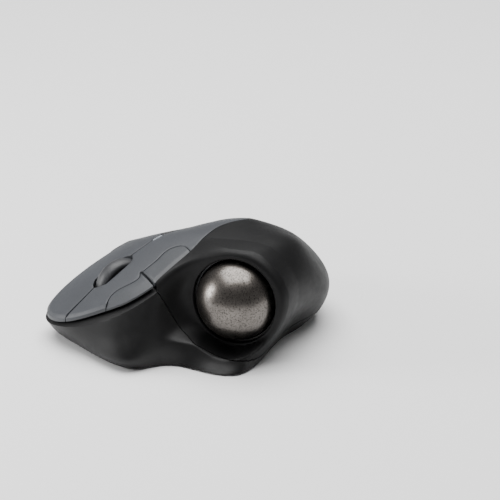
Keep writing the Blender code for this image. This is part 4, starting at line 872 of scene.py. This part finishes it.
def rampOf(tree, value, *stops):
    # A colour ramp; each stop is a place and a colour or a grey.
    made = nodeOf(tree, "ShaderNodeValToRGB", {"Fac": value})
    while len(made.color_ramp.elements) < len(stops):
        made.color_ramp.elements.new(0.5)
    for element, (spot, colour) in zip(made.color_ramp.elements, stops):
        element.position = spot
        element.color = (*colour, 1) if hasattr(colour, "__len__") else (colour,) * 3 + (1,)
    return made.outputs["Color"]


def rangeOf(tree, value, low, high, fromLow=0.3, fromHigh=0.7):
    return nodeOf(tree, "ShaderNodeMapRange", {
        "Value": value, "From Min": fromLow, "From Max": fromHigh,
        "To Min": low, "To Max": high}).outputs["Result"]


def bumpOf(tree, height, strength, depth):
    return nodeOf(tree, "ShaderNodeBump", {
        "Height": height, "Strength": strength, "Distance": depth}).outputs["Normal"]


def multiplied(tree, first, second):
    # Two colours multiplied; the colour inputs of a mix node are its places 6 and 7.
    mix = nodeOf(tree, "ShaderNodeMix", data_type="RGBA", blend_type="MULTIPLY")
    return feed(tree, mix, {"Factor": 1.0, 6: first, 7: second}).outputs[2]


def mouldedFinish(name, look):
    # Moulded plastic or rubber: spark-eroded grain, slow colour drift, patchy gloss.
    made, tree, shader, place = nodeSet(name)
    grain = noiseOf(tree, place, look["grain"], 3.0, 0.6)
    drift = noiseOf(tree, place, look.get("drift", 45.0), 3.0)
    patch = noiseOf(tree, place, look.get("patch", 260.0), 4.0, 0.65)
    colour = np.array(look["colour"])
    spread = look.get("spread", 0.08)
    tone = rampOf(tree, drift, (0.3, tuple(colour * (1 - spread))),
                  (0.7, tuple(colour * (1 + spread))))
    speck = rampOf(tree, grain, (0.36, look.get("pit", 0.82)), (0.5, 1.0))
    rough, change = look["roughness"], look.get("glossDrift", 0.05)
    feed(tree, shader, {
        "Base Color": multiplied(tree, tone, speck),
        "Roughness": rangeOf(tree, patch, rough - change, rough + change),
        "Normal": bumpOf(tree, grain, look.get("bump", 0.25), look.get("depth", 0.00006)),
        "Metallic": look.get("metallic", 0.0),
        "Specular IOR Level": look.get("shine", 0.5),
    })
    if look.get("coat"):
        feed(tree, shader, {"Coat Weight": look["coat"], "Coat Roughness": 0.25})
    return made


finishLooks = {
    "softBlack": {"colour": (0.0045, 0.0045, 0.0048), "roughness": 0.5, "grain": 2600, "bump": 0.2,
                  "shine": 0.2},
    "lowerBlack": {"colour": (0.006, 0.006, 0.0063), "roughness": 0.46, "grain": 2600, "bump": 0.28,
                   "shine": 0.28},
    "slateKey": {"colour": (0.04, 0.043, 0.049), "roughness": 0.5, "grain": 2300, "bump": 0.3,
                 "shine": 0.45},
    "slateButton": {"colour": (0.038, 0.041, 0.046), "roughness": 0.48, "grain": 2300, "bump": 0.3,
                    "shine": 0.45},
    "darkPlastic": {"colour": (0.018, 0.018, 0.019), "roughness": 0.55, "grain": 1900, "bump": 0.3},
    "tyreRubber": {"colour": (0.026, 0.027, 0.03), "roughness": 0.5, "grain": 1500, "bump": 0.4,
                   "depth": 0.0001},
    "glideFoot": {"colour": (0.028, 0.028, 0.03), "roughness": 0.35, "grain": 900, "bump": 0.15,
                  "spread": 0.2},
    "steel": {"colour": (0.55, 0.55, 0.54), "roughness": 0.32, "grain": 700, "bump": 0.12,
              "metallic": 1.0,
              "pit": 0.9, "glossDrift": 0.1},
    "ruby": {"colour": (0.35, 0.02, 0.04), "roughness": 0.12, "grain": 2500, "bump": 0.05,
             "coat": 0.5},
    "ribbon": {"colour": (0.62, 0.62, 0.64), "roughness": 0.42, "grain": 900, "bump": 0.2},
    "clearLens": {"colour": (0.2, 0.22, 0.25), "roughness": 0.2, "grain": 1500, "bump": 0.03,
                  "coat": 0.4},
}
finishes = {name: mouldedFinish(name, look) for name, look in finishLooks.items()}


def ballFinish(look):
    # Dark silver lacquer with fine dark specks.
    made, tree, shader, place = nodeSet("gunmetalBall")
    where = nodeOf(tree, "ShaderNodeMapping", {
        "Vector": place, "Location": tuple(-c * perMm for c in ballCentre)}).outputs["Vector"]
    cloud = noiseOf(tree, where, look["cloud"], 5.0, 0.7)
    fine = noiseOf(tree, where, look["speck"], 3.0, 0.75)
    dust = noiseOf(tree, where, look["dust"], 1.0, 0.5)
    tone = rampOf(tree, cloud, (0.3, look["dark"]), (0.52, look["middle"]), (0.72, look["light"]))
    dots = rampOf(tree, fine, (0.36, look["dot"]), (0.5, 1.0))
    glint = rampOf(tree, dust, (0.35, 0.82), (0.7, 1.18))
    feed(tree, shader, {
        "Base Color": multiplied(tree, multiplied(tree, tone, dots), glint),
        "Roughness": rangeOf(tree, fine, look["rough"] + 0.12, look["rough"] - 0.04),
        "Normal": bumpOf(tree, fine, 0.12, 0.00008),
        "Metallic": look["metallic"],
        "Coat Weight": look["coat"],
        "Coat Roughness": 0.08,
    })
    return made


ballLook = {"cloud": 110, "speck": 1500, "dust": 3600, "dark": (0.105, 0.095, 0.086),
            "middle": (0.15, 0.136, 0.124),
            "light": (0.205, 0.187, 0.17), "dot": 0.28, "rough": 0.29, "metallic": 1.0,
            "coat": 0.25}
finishes["ball"] = ballFinish(ballLook)


def boardFinish(look):
    # Solder mask with copper tracks under it and tinned pads.
    made, tree, shader, place = nodeSet("circuitBoard")
    tracks = nodeOf(tree, "ShaderNodeTexBrick", {
        "Vector": place, "Scale": look["tracks"], "Mortar Size": 0.03, "Color1": (*look["mask"], 1),
        "Color2": (*[c * 1.25 for c in look["mask"]], 1), "Mortar": (*look["track"], 1)})
    pads = nodeOf(tree, "ShaderNodeTexVoronoi", {"Vector": place, "Scale": look["pads"]})
    padMask = rampOf(tree, pads.outputs["Distance"], (0.12, 1.0), (0.16, 0.0))
    mix = nodeOf(tree, "ShaderNodeMix", data_type="RGBA")
    feed(tree, mix, {"Factor": padMask, 6: tracks.outputs["Color"], 7: (*look["tin"], 1)})
    feed(tree, shader, {
        "Base Color": mix.outputs[2],
        "Roughness": rangeOf(tree, noiseOf(tree, place, 300), 0.32, 0.5),
        "Normal": bumpOf(tree, tracks.outputs["Fac"], 0.3, 0.00005),
    })
    return made


finishes["board"] = boardFinish({"tracks": 260, "pads": 320, "mask": (0.015, 0.11, 0.045),
                                 "track": (0.05, 0.2, 0.08), "tin": (0.6, 0.6, 0.58)})


def cellFinish(look):
    # Printed sleeve: a plain band at the button end, a darker body.
    made, tree, shader, place = nodeSet("cellSleeve")
    split = nodeOf(tree, "ShaderNodeSeparateXYZ", {"Vector": place})
    along = rangeOf(tree, split.outputs["Y"], 0.0, 1.0, look["start"] * perMm, look["end"] * perMm)
    bare, band, body = (0.6, 0.6, 0.58), look["band"], look["body"]
    feed(tree, shader, {
        "Base Color": rampOf(tree, along, (0.0, bare), (0.03, band), (0.3, band), (0.31, body),
                             (0.975, body), (0.98, bare)),
        "Roughness": rangeOf(tree, noiseOf(tree, place, 500), 0.22, 0.36),
        "Normal": bumpOf(tree, noiseOf(tree, place, 900), 0.08, 0.00005),
        "Metallic": 0.35,
    })
    return made


print("finishes made:", len(finishes))

# the two shells
shellSizes = {"columns": 272, "fine": 4, "cavityColumns": 102, "cavityFine": 2, "boreSides": 144,
              "lipRound": 0.8, "deckSlotPoint": 0.6, "sinkRadius": 2.9, "sinkDepth": 2.4}


def skinBlock(name, wall, footHeight, underKeys, columns, fine):
    rows = bodyRows(evenPlaces(columns), wall, footHeight, underKeys, fine)
    depth = wall + underKeys
    crown = (*bodyMiddle, topAt(bodyMiddle) - depth)
    return newObject(name, *gridSolid(rows, crown, (*bodyMiddle, footHeight)))


def outerSkin(name):
    return skinBlock(name, 0.0, bodySizes["floorBottom"], 0.0, shellSizes["columns"],
                     shellSizes["fine"])


def cavityBlock():
    wall = bodySizes["wall"]
    return skinBlock("cavity", wall, floorTop, deckDepth + keySizes["deckThickness"] - wall,
                     shellSizes["cavityColumns"], shellSizes["cavityFine"])


def boreBlock(name):
    # The ball's clearance, with the rolled lip of the opening round it.
    radius = ballSizes["radius"] + ballSizes["clearance"]
    reach = math.acos(1.0 / radius)
    height = ballSizes["openingOffset"] * ballScale
    roll = shellSizes["lipRound"]
    low = math.sqrt(max(radius ** 2 - lipRadius ** 2, 0.0)) if radius > lipRadius else 0.0
    arc = [(radius * math.sin(a), -radius * math.cos(a))
           for a in np.linspace(0, math.pi - reach, 24)]
    profile = [(0, -radius)] + [p for p in arc[1:] if p[1] < low - 0.5]
    profile += [(lipRadius, low)]
    profile += [(lipRadius + roll * (1 - math.cos(a)),
                 height + roll * (math.sin(a) - math.sin(1.2)))
                for a in np.linspace(0, 1.4, 8)]
    profile += [(lipRadius + roll * (1 - math.cos(1.4)), ballSizes["radius"] + 12.0),
                (0, ballSizes["radius"] + 12.0)]
    return newObject(name, *turnedData(profile, ballCentre, openingAxis, shellSizes["boreSides"]))


def makeUpperShell():
    made = outerSkin("upperShell")
    posts = list(postSpots.values()) + [speedSpot]
    holes = [column(p, topAt(p) - 9, topAt(p) - deckDepth + 1, postRadius + 0.8, 24) for p in posts]
    holes += [column(lightSpot, topAt(lightSpot) - 9, topAt(lightSpot) + 1, 1.3, 24)]
    yoke = np.array((wheelSizes["width"] / 2 + 3.1, wheelSizes["radius"] + 1.3, 2.0))
    # room for the wheel's yoke at full tilt
    relief = blockData(wheelCentre, 2 * yoke + (1.6, 4.8, 1.4), wheelBasis)
    gap = bodySizes["seamGap"]
    return carve(made, cavityBlock(), seamBlock("seamForTop", gap, bodySizes["wall"] + 0.5 + gap),
                 recessBlock("keyRecess"), boreBlock("ballBore"),
                 slotBlock("deckSlot", deckDepth + keySizes["deckThickness"],
                           shellSizes["deckSlotPoint"]),
                 newObject("topHoles", *joined(holes)), newObject("yokeRelief", *relief))


postSpots = {"left": at(-4.2, -33), "right": at(-27.0, -34.5), "forward": at(4.6, -33.5),
             "back": at(4.6, -15.5)}
postRadius = 1.6


def makeLowerShell():
    made = outerSkin("lowerShell")
    cavity = cavityBlock()
    keep = seamBlock("seamForBase", 0.0, bodySizes["wall"] + 0.5)
    front, away = frontFan(0.05)
    outline = np.concatenate([front + away * 8.0, panelLine[frontCount:]])
    trim = newObject("rimTrim", *plateData(outline, 40.0, -deckDepth))
    under = bodySizes["floorBottom"]
    holes = [blockData((*doorCentre, under + 1), (doorWidth + 0.7, doorLength + 0.9, 6.0)),
             blockData((*receiverSpot, under + 1), (dongleSize[0] + 0.7, dongleSize[1] + 0.7, 6.0)),
             blockData((knobSpot[0] + knobTravel / 2, knobSpot[1], under + 1),
                       (knobSize[0] + knobTravel + 0.8, knobSize[1] + 0.8, 6.0)),
             column(ejectSpot, under - 2, floorTop + 2, ballSizes["ejectRadius"], 64)]
    holes += [column(p, under - 1, floorTop + 3, screwRadius + fitGap, 24) for p in bossSpots]
    sinks = [column(p, under - 1, under + shellSizes["sinkDepth"], shellSizes["sinkRadius"], 40)
             for p in bossSpots]
    sinks += [prismData(roundedPlan(c, n + 0.6, w + 0.6, a, 14), under - 1, under + footRecess)
              for c, n, w, a in footSpots]
    first = newObject("baseHoles", *joined(holes))
    second = newObject("baseSinks", *joined(sinks))
    cutters = (cavity, keep, trim, first, second)
    for cutter in cutters:
        combine(made, cutter, "INTERSECT" if cutter == keep else "DIFFERENCE")
    return settle(made, *cutters)


wear(makeUpperShell(), finishes["softBlack"], "case", "upper_shell", "top_shell")
wear(makeLowerShell(), finishes["lowerBlack"], "case", "lower_shell", "base_shell")

# keys and buttons
keyLook = {"band": 1.3, "bandDrop": 0.7, "round": 0.3, "spacing": 1.5,
           "forwardBand": 5.0, "forwardDrop": 1.3, "backBand": 2.2, "backDrop": 0.8}


def lineDistance(plan, line):
    # Distance from plan points to an open line.
    start = line[:-1]
    edge = line[1:] - start
    offset = plan[:, None, :] - start[None]
    t = np.clip((offset * edge).sum(2) / (edge ** 2).sum(1), 0, 1)
    return np.linalg.norm(offset - t[..., None] * edge, axis=2).min(1)


def roundDrop(distance, radius):
    d = np.clip(distance, 0, radius)
    return radius - np.sqrt(np.maximum(radius ** 2 - (radius - d) ** 2, 0))


def bandDrop(distance, band, drop):
    # A bevelled band: a flat slope that eases into the top over its last third.
    t = np.clip(distance / band, 0, 1)
    return drop * np.where(t < 0.75, 1 - t / 0.875, (1 - t) ** 2 / (0.25 * 0.875) * 0.5)


def inwardOf(line):
    # Plan directions to the left of an open line.
    along = np.gradient(line, axis=0)
    return unitRows(np.c_[-along[:, 1], along[:, 0]])


def cappedPlate(name, edges, posts=(), thickness=None, bevel=None):
    # A plate under the top surface. Each edge is a closed plan line and the side that is kept.
    thickness = keySizes["thickness"] if thickness is None else thickness
    plan = []
    links = []

    def addLine(line):
        first = len(plan)
        plan.extend(Vector(p) for p in line)
        links.extend((first + i, first + (i + 1) % len(line)) for i in range(len(line)))

    radius = keyLook["round"]
    for line, side in edges:
        addLine(line)
        for share in (0.1, 0.35, 1.0):
            addLine(grown(line, -side * radius * share))
    kept = edges[0][0]
    low, high = kept.min(0), kept.max(0)
    spacing = keyLook["spacing"]
    grid = np.array([(x, y) for x in np.arange(low[0], high[0], spacing)
                     for y in np.arange(low[1], high[1], spacing)])

    def outside(points):
        return np.max([side * nearestDistance(points, line) for line, side in edges], axis=0)

    grid = grid[outside(grid) < -0.4]
    plan.extend(Vector(p) for p in grid)
    if bevel:
        bevelLine, band, fall = bevel
        for share in (0.4, 0.75, 0.88, 1.0):
            line = bevelLine + inwardOf(bevelLine) * band * share
            plan.extend(Vector(p) for p in line[outside(line) < -0.05])
    verts, _, tris, _, _, _ = delaunay_2d_cdt(plan, links, [], 0, 1e-4)
    flat = np.array([tuple(v) for v in verts])
    tris = np.array([tuple(t) for t in tris])
    tris = tris[outside(flat[tris].mean(1)) < -1e-3]
    corners = flat[tris]
    area = np.cross(corners[:, 1] - corners[:, 0], corners[:, 2] - corners[:, 0])
    tris = tris[area > 1e-7]
    used = np.unique(tris)
    order = np.full(len(flat), -1)
    order[used] = np.arange(len(used))
    flat, tris = flat[used], order[tris]
    drop = np.max([roundDrop(-side * nearestDistance(flat, line), radius) for line, side in edges],
                  axis=0)
    if bevel:
        drop = np.maximum(drop, bandDrop(lineDistance(flat, bevelLine), band, fall))
    height = topHeight(flat[:, 0], flat[:, 1])
    count = len(flat)
    points = list(np.c_[flat, height - drop]) + list(np.c_[flat, height - thickness])
    faces = [tuple(int(i) for i in t) for t in tris]
    faces += [tuple(int(i) + count for i in reversed(t)) for t in tris]
    sides = {}
    for tri in tris:
        for a, b in ((tri[0], tri[1]), (tri[1], tri[2]), (tri[2], tri[0])):
            sides[(int(a), int(b))] = True
    faces += [(b, a, a + count, b + count) for a, b in sides if (b, a) not in sides]
    pieces = [(points, faces)]
    for spot, bottom in posts:
        pieces.append(column(spot, bottom, topAt(spot) - thickness + 0.7, postRadius, 24))
    return newObject(name, *joined(pieces), 32.0)


frontLine = railAt(0, np.linspace(frontFirst, frontLast, frontCount))
keyBevel = (frontLine, keyLook["band"], keyLook["bandDrop"])


def lightOutline():
    return roundedPlan(lightSpot, *lightSize, math.pi / 2 + wheelSizes["skew"], 10)


def keyEdges(side):
    # The outlines that bound one key: the panel, its own half, and the openings left in it.
    far = 2 * bodySizes["length"]
    gap = side * keySizes["splitGap"] / 2
    half = [(splitX(-far) + gap, -far), (splitX(far) + gap, far), (side * far, far),
            (side * far, -far)]
    half = np.array(half if side < 0 else half[::-1])
    edges = [(panelLine, 1), (half, 1), (slotOutline(), -1), (grown(speedOutline(), buttonGap), -1),
             (grown(lightOutline(), buttonGap), -1)]
    if side > 0:
        edges += [(grown(forwardOutline(), buttonGap), -1), (grown(backOutline(), buttonGap), -1),
                  (np.array([at(*p) for p in notch]), -1)]
    return edges


lightSize = (5.0, 1.8)
switchSizes = {"boardRise": 1.3, "board": 1.2, "height": 6.5, "nub": 0.5, "keySpare": 0.9,
               "buttonSpare": 0.6}
switchTop = (floorTop + switchSizes["boardRise"] + switchSizes["board"] + fitGap
             + switchSizes["height"])
keyRest = switchTop + switchSizes["nub"] + switchSizes["keySpare"]
buttonRest = switchTop + switchSizes["nub"] + switchSizes["buttonSpare"]


def slotOutline():
    # Plan outline of the wheel's opening in the keys.
    return np.array([(wheelTop + wheelBasis[0] * x + wheelBasis[1] * y)[:2]
                     for x, y in slotCorners(0, 1.6, 1.5)])


notch = ((-1.5, -27.3), (3.0, -27.2), (13.0, -27.8), (13.0, -26.0), (3.0, -26.2), (-1.5, -26.8))


for side, hand in ((1, "left"), (-1, "right")):
    key = cappedPlate(f"{hand}Key", keyEdges(side), [(postSpots[hand], keyRest)], bevel=keyBevel)
    wear(key, finishes["slateKey"], f"{hand}_key", "keys", f"{hand}_key")
forwardButton = cappedPlate("forwardButton", [(forwardOutline(), 1)],
                            [(postSpots["forward"], buttonRest)],
                            bevel=(frontLine, keyLook["forwardBand"], keyLook["forwardDrop"]))
wear(forwardButton, finishes["slateButton"], "forward_button", "keys", "forward_button")
backButton = cappedPlate("backButton", [(backOutline(), 1)], [(postSpots["back"], buttonRest)],
                         bevel=(thumbEdge(frontCount - 1, -26.6, -8.4), keyLook["backBand"],
                                keyLook["backDrop"]))
wear(backButton, finishes["slateButton"], "back_button", "keys", "back_button")
speedButton = cappedPlate("speedButton", [(speedOutline(), 1)],
                          [(speedSpot, 30.5 * heightScale + 4.2)])
wear(speedButton, finishes["darkPlastic"], "pointer_speed_button", "speed_button",
     "pointer_speed_button")
lightLens = cappedPlate("lightLens", [(lightOutline(), 1)], thickness=1.2)
wear(lightLens, finishes["clearLens"], "case", "light_lens", "status_light_lens")


def makeTyre():
    half = wheelSizes["width"] / 2
    rim = wheelSizes["radius"] - wheelSizes["tyreDepth"]
    turn = np.linspace(-math.pi / 2, math.pi / 2, 25)
    crown = [(wheelSizes["radius"] - half * 0.55 * (1 - math.cos(a)), half * math.sin(a))
             for a in turn]
    profile = [(rim, -half)] + crown + [(rim, half)]
    tyre = turnedData(profile, wheelCentre, wheelBasis[0], wheelSizes["sides"])
    return newObject("wheelTyre", *tyre, 50.0)


wear(makeTyre(), finishes["tyreRubber"], "wheel", "wheel_rubber", "wheel_tyre")


def makeBall():
    turn = np.linspace(0, math.pi, 97)
    arc = [(ballSizes["radius"] * math.sin(a), -ballSizes["radius"] * math.cos(a)) for a in turn]
    arc[0], arc[-1] = (0, -ballSizes["radius"]), (0, ballSizes["radius"])
    return newObject("trackball", *turnedData(arc, ballCentre, (0, 0, 1), 192), 60.0)


wear(makeBall(), finishes["ball"], "ball", "ball", "ball")

# screws of the case, by geometry nodes
screwSizes = {"headRadius": 2.5, "headHeight": 1.3, "crossLength": 3.0, "crossWidth": 0.7,
              "crossDepth": 0.7, "shankRadius": 1.3, "shankStart": 0.8, "sunk": 0.8,
              "mostTurn": 1.5, "sides": 40, "seed": 4}


def screwTree(finish):
    # A cross-recess screw on each point of the input, turned a little at random.
    tree = bpy.data.node_groups.new("caseScrews", "GeometryNodeTree")
    face = tree.interface
    face.new_socket("Spots", in_out="INPUT", socket_type="NodeSocketGeometry")
    for label in ("Head Radius", "Head Height", "Cross Length", "Cross Width", "Cross Depth",
                  "Shank Radius", "Shank Length"):
        face.new_socket(label, in_out="INPUT", socket_type="NodeSocketFloat")
    face.new_socket("Screws", in_out="OUTPUT", socket_type="NodeSocketGeometry")
    given = nodeOf(tree, "NodeGroupInput").outputs

    def vectorOf(**amounts):
        return nodeOf(tree, "ShaderNodeCombineXYZ", amounts).outputs[0]

    def barOf(length, width):
        size = vectorOf(X=given[length], Y=given[width], Z=given["Cross Depth"])
        return nodeOf(tree, "GeometryNodeMeshCube", {"Size": size}).outputs["Mesh"]

    def rodOf(radius, depth):
        return nodeOf(tree, "GeometryNodeMeshCylinder", {
            "Vertices": screwSizes["sides"], "Radius": given[radius],
            "Depth": given[depth]}).outputs["Mesh"]

    def times(amount, share):
        return nodeOf(tree, "ShaderNodeMath", {0: given[amount], 1: share},
                      operation="MULTIPLY").outputs[0]

    def movedUp(shape, rise):
        return nodeOf(tree, "GeometryNodeTransform", {
            "Geometry": shape, "Translation": vectorOf(Z=rise)}).outputs["Geometry"]

    def cut(how, shapes):
        made = nodeOf(tree, "GeometryNodeMeshBoolean", operation=how)
        for shape in shapes:
            tree.links.new(shape, made.inputs["Mesh 2"])
        return made

    head = movedUp(rodOf("Head Radius", "Head Height"), times("Head Height", 0.5))
    sunk = nodeOf(tree, "ShaderNodeMath", {
        0: times("Head Height", screwSizes["shankStart"]), 1: times("Shank Length", 0.5)},
        operation="ADD")
    shank = movedUp(rodOf("Shank Radius", "Shank Length"), sunk.outputs[0])
    union = cut("UNION", (head, shank))
    recess = cut("DIFFERENCE", (barOf("Cross Length", "Cross Width"),
                                barOf("Cross Width", "Cross Length")))
    tree.links.new(union.outputs["Mesh"], recess.inputs["Mesh 1"])
    turn = nodeOf(tree, "FunctionNodeRandomValue", {
        0: (0, 0, 0), 1: (0, 0, screwSizes["mostTurn"]), "Seed": screwSizes["seed"]},
        data_type="FLOAT_VECTOR")
    screws = nodeOf(tree, "GeometryNodeInstanceOnPoints", {
        "Points": given["Spots"], "Instance": recess.outputs["Mesh"], "Rotation": turn.outputs[0]})
    real = nodeOf(tree, "GeometryNodeRealizeInstances", {"Geometry": screws.outputs["Instances"]})
    dress = nodeOf(tree, "GeometryNodeSetMaterial",
                   {"Geometry": real.outputs["Geometry"], "Material": finish})
    nodeOf(tree, "NodeGroupOutput", {"Screws": dress.outputs["Geometry"]})
    return tree


def makeScrews(name, spots, top, tree):
    mesh = bpy.data.meshes.new(name)
    start = bodySizes["floorBottom"] + screwSizes["sunk"]
    mesh.from_pydata([(x * perMm, y * perMm, start * perMm) for x, y in spots], [], [])
    made = placed(name, mesh)
    step = made.modifiers.new("screws", "NODES")
    step.node_group = tree
    values = {"Head Radius": screwSizes["headRadius"], "Head Height": screwSizes["headHeight"],
              "Cross Length": screwSizes["crossLength"], "Cross Width": screwSizes["crossWidth"],
              "Cross Depth": screwSizes["crossDepth"] * 2,
              "Shank Radius": screwSizes["shankRadius"],
              "Shank Length": top - bodySizes["floorBottom"] - screwSizes["sunk"]
              - screwSizes["shankStart"] * screwSizes["headHeight"]}
    for socket in tree.interface.items_tree:
        if socket.item_type == "SOCKET" and socket.name in values:
            step[socket.identifier] = values[socket.name] * perMm
    return settle(made)


screwNodes = screwTree(finishes["steel"])
for rank in range(4):
    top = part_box(f"shell_screw_{rank + 1}")[1][2] / perMm
    made = makeScrews(f"caseScrew{rank + 1}", [bossSpots[rank]], top, screwNodes)
    wear(made, finishes["steel"], "case", "screws", f"shell_screw_{rank + 1}")


# underside
undersideSizes = {"footRound": 0.35, "doorRound": 0.4, "gripCount": 6, "gripLength": 9.0}


def rounded(made, width, segments=3):
    step = made.modifiers.new("round", "BEVEL")
    step.width = width * perMm
    step.segments = segments
    step.limit_method = "ANGLE"
    step.angle_limit = math.radians(40)
    return settle(made)


for rank, (centre, length, width, angle) in enumerate(footSpots):
    low, high = (c[2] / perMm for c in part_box(f"foot_{rank + 1}"))
    plan = roundedPlan(centre, length, width, angle, 16)
    foot = newObject(f"glideFoot{rank + 1}", *prismData(plan, low, high))
    wear(rounded(foot, undersideSizes["footRound"]), finishes["glideFoot"], "case", "feet",
         f"foot_{rank + 1}")


def makeDoor():
    low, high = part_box("battery_door")
    low, high = np.array(low) / perMm, np.array(high) / perMm
    made = rounded(newObject("cellDoor", *blockData((low + high) / 2, high - low)),
                   undersideSizes["doorRound"])
    grips = [blockData((doorCentre[0], low[1] + 4.5 + 1.5 * i, low[2]),
                       (undersideSizes["gripLength"], 0.7, 0.8))
             for i in range(undersideSizes["gripCount"])]
    return carve(made, newObject("doorGrips", *joined(grips)))


wear(makeDoor(), finishes["lowerBlack"], "battery_door", "battery_door", "battery_door")

# finishes of the parts that keep their CAD shape
carried = {
    "darkPlastic": ["wheel_hub", "wheel_yoke", "wheel_cradle", "scroll_encoder", "tilt_switch_left",
                    "tilt_switch_right", "ball_cup", "sensor_chip", "receiver_body",
                    "middle_switch", "left_switch", "right_switch", "forward_switch",
                    "back_switch", "speed_switch", "power_switch_body"],
    "board": ["button_board", "main_board", "sensor_board"],
    "ruby": ["support_ball_1", "support_ball_2", "support_ball_3"],
    "clearLens": ["sensor_lens"],
    "ribbon": ["ribbon_cable"],
    "steel": ["board_screw_1", "board_screw_2", "battery_spring", "battery_contact",
              "receiver_plug"],
    "slateKey": ["power_switch_knob"],
    "cell": ["battery"],
}
cellStart = cellCentre[1] - bayLength / 2 + 2 * fitGap + 0.5
finishes["cell"] = cellFinish({"start": cellStart,
                               "end": cellStart + cellSizes["tip"] + cellSizes["length"],
                               "band": (0.42, 0.2, 0.07),
                               "body": (0.02, 0.022, 0.026)})
for finishName, nodeNames in carried.items():
    for nodeName in nodeNames:
        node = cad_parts[nodeName]
        node.data.materials.clear()
        node.data.materials.append(finishes[finishName])
print("finishes given to", sum(len(names) for names in carried.values()), "CAD nodes")

# studio
studio = {"floorSize": 6.0, "floorTone": 0.9, "floorRough": 0.75, "worldTone": 1.0,
          "worldStrength": 0.2}
lamps = {
    "topLight": {"spot": (-0.25, 0.1, 1.5), "target": (0, 0, 0), "size": (1.7, 1.7), "power": 62.0},
    "leftLight": {"spot": (-0.28, -0.5, 0.2), "target": (0.02, 0, 0.03), "size": (0.2, 0.26),
                  "power": 2.6},
}


def makeStudio():
    side = studio["floorSize"] / perMm
    corners = ((-side, -side), (side, -side), (side, side), (-side, side))
    floor = newObject("floor", *prismData(corners, -20.0, 0.0))
    made, tree, shader, place = nodeSet("paleFloor")
    tone = studio["floorTone"]
    drift = rampOf(tree, noiseOf(tree, place, 3.0), (0.3, tone - 0.01), (0.7, tone + 0.01))
    feed(tree, shader, {"Base Color": drift, "Roughness": studio["floorRough"]})
    floor.data.materials.append(made)
    world = bpy.data.worlds.new("studioWorld")
    world.use_nodes = True
    sky = world.node_tree.nodes["Background"]
    sky.inputs["Color"].default_value = (studio["worldTone"],) * 3 + (1,)
    sky.inputs["Strength"].default_value = studio["worldStrength"]
    bpy.context.scene.world = world


def softBox(name, spot, target, size, power):
    lamp = bpy.data.lights.new(name, "AREA")
    lamp.shape = "RECTANGLE"
    lamp.size, lamp.size_y = size
    lamp.energy = power
    holder = placed(name, lamp)
    holder.location = spot
    holder.rotation_euler = (Vector(target) - Vector(spot)).to_track_quat("-Z", "Y").to_euler()


makeStudio()
for name, lamp in lamps.items():
    softBox(name, **lamp)
print("studio made:", len(lamps), "lamps")
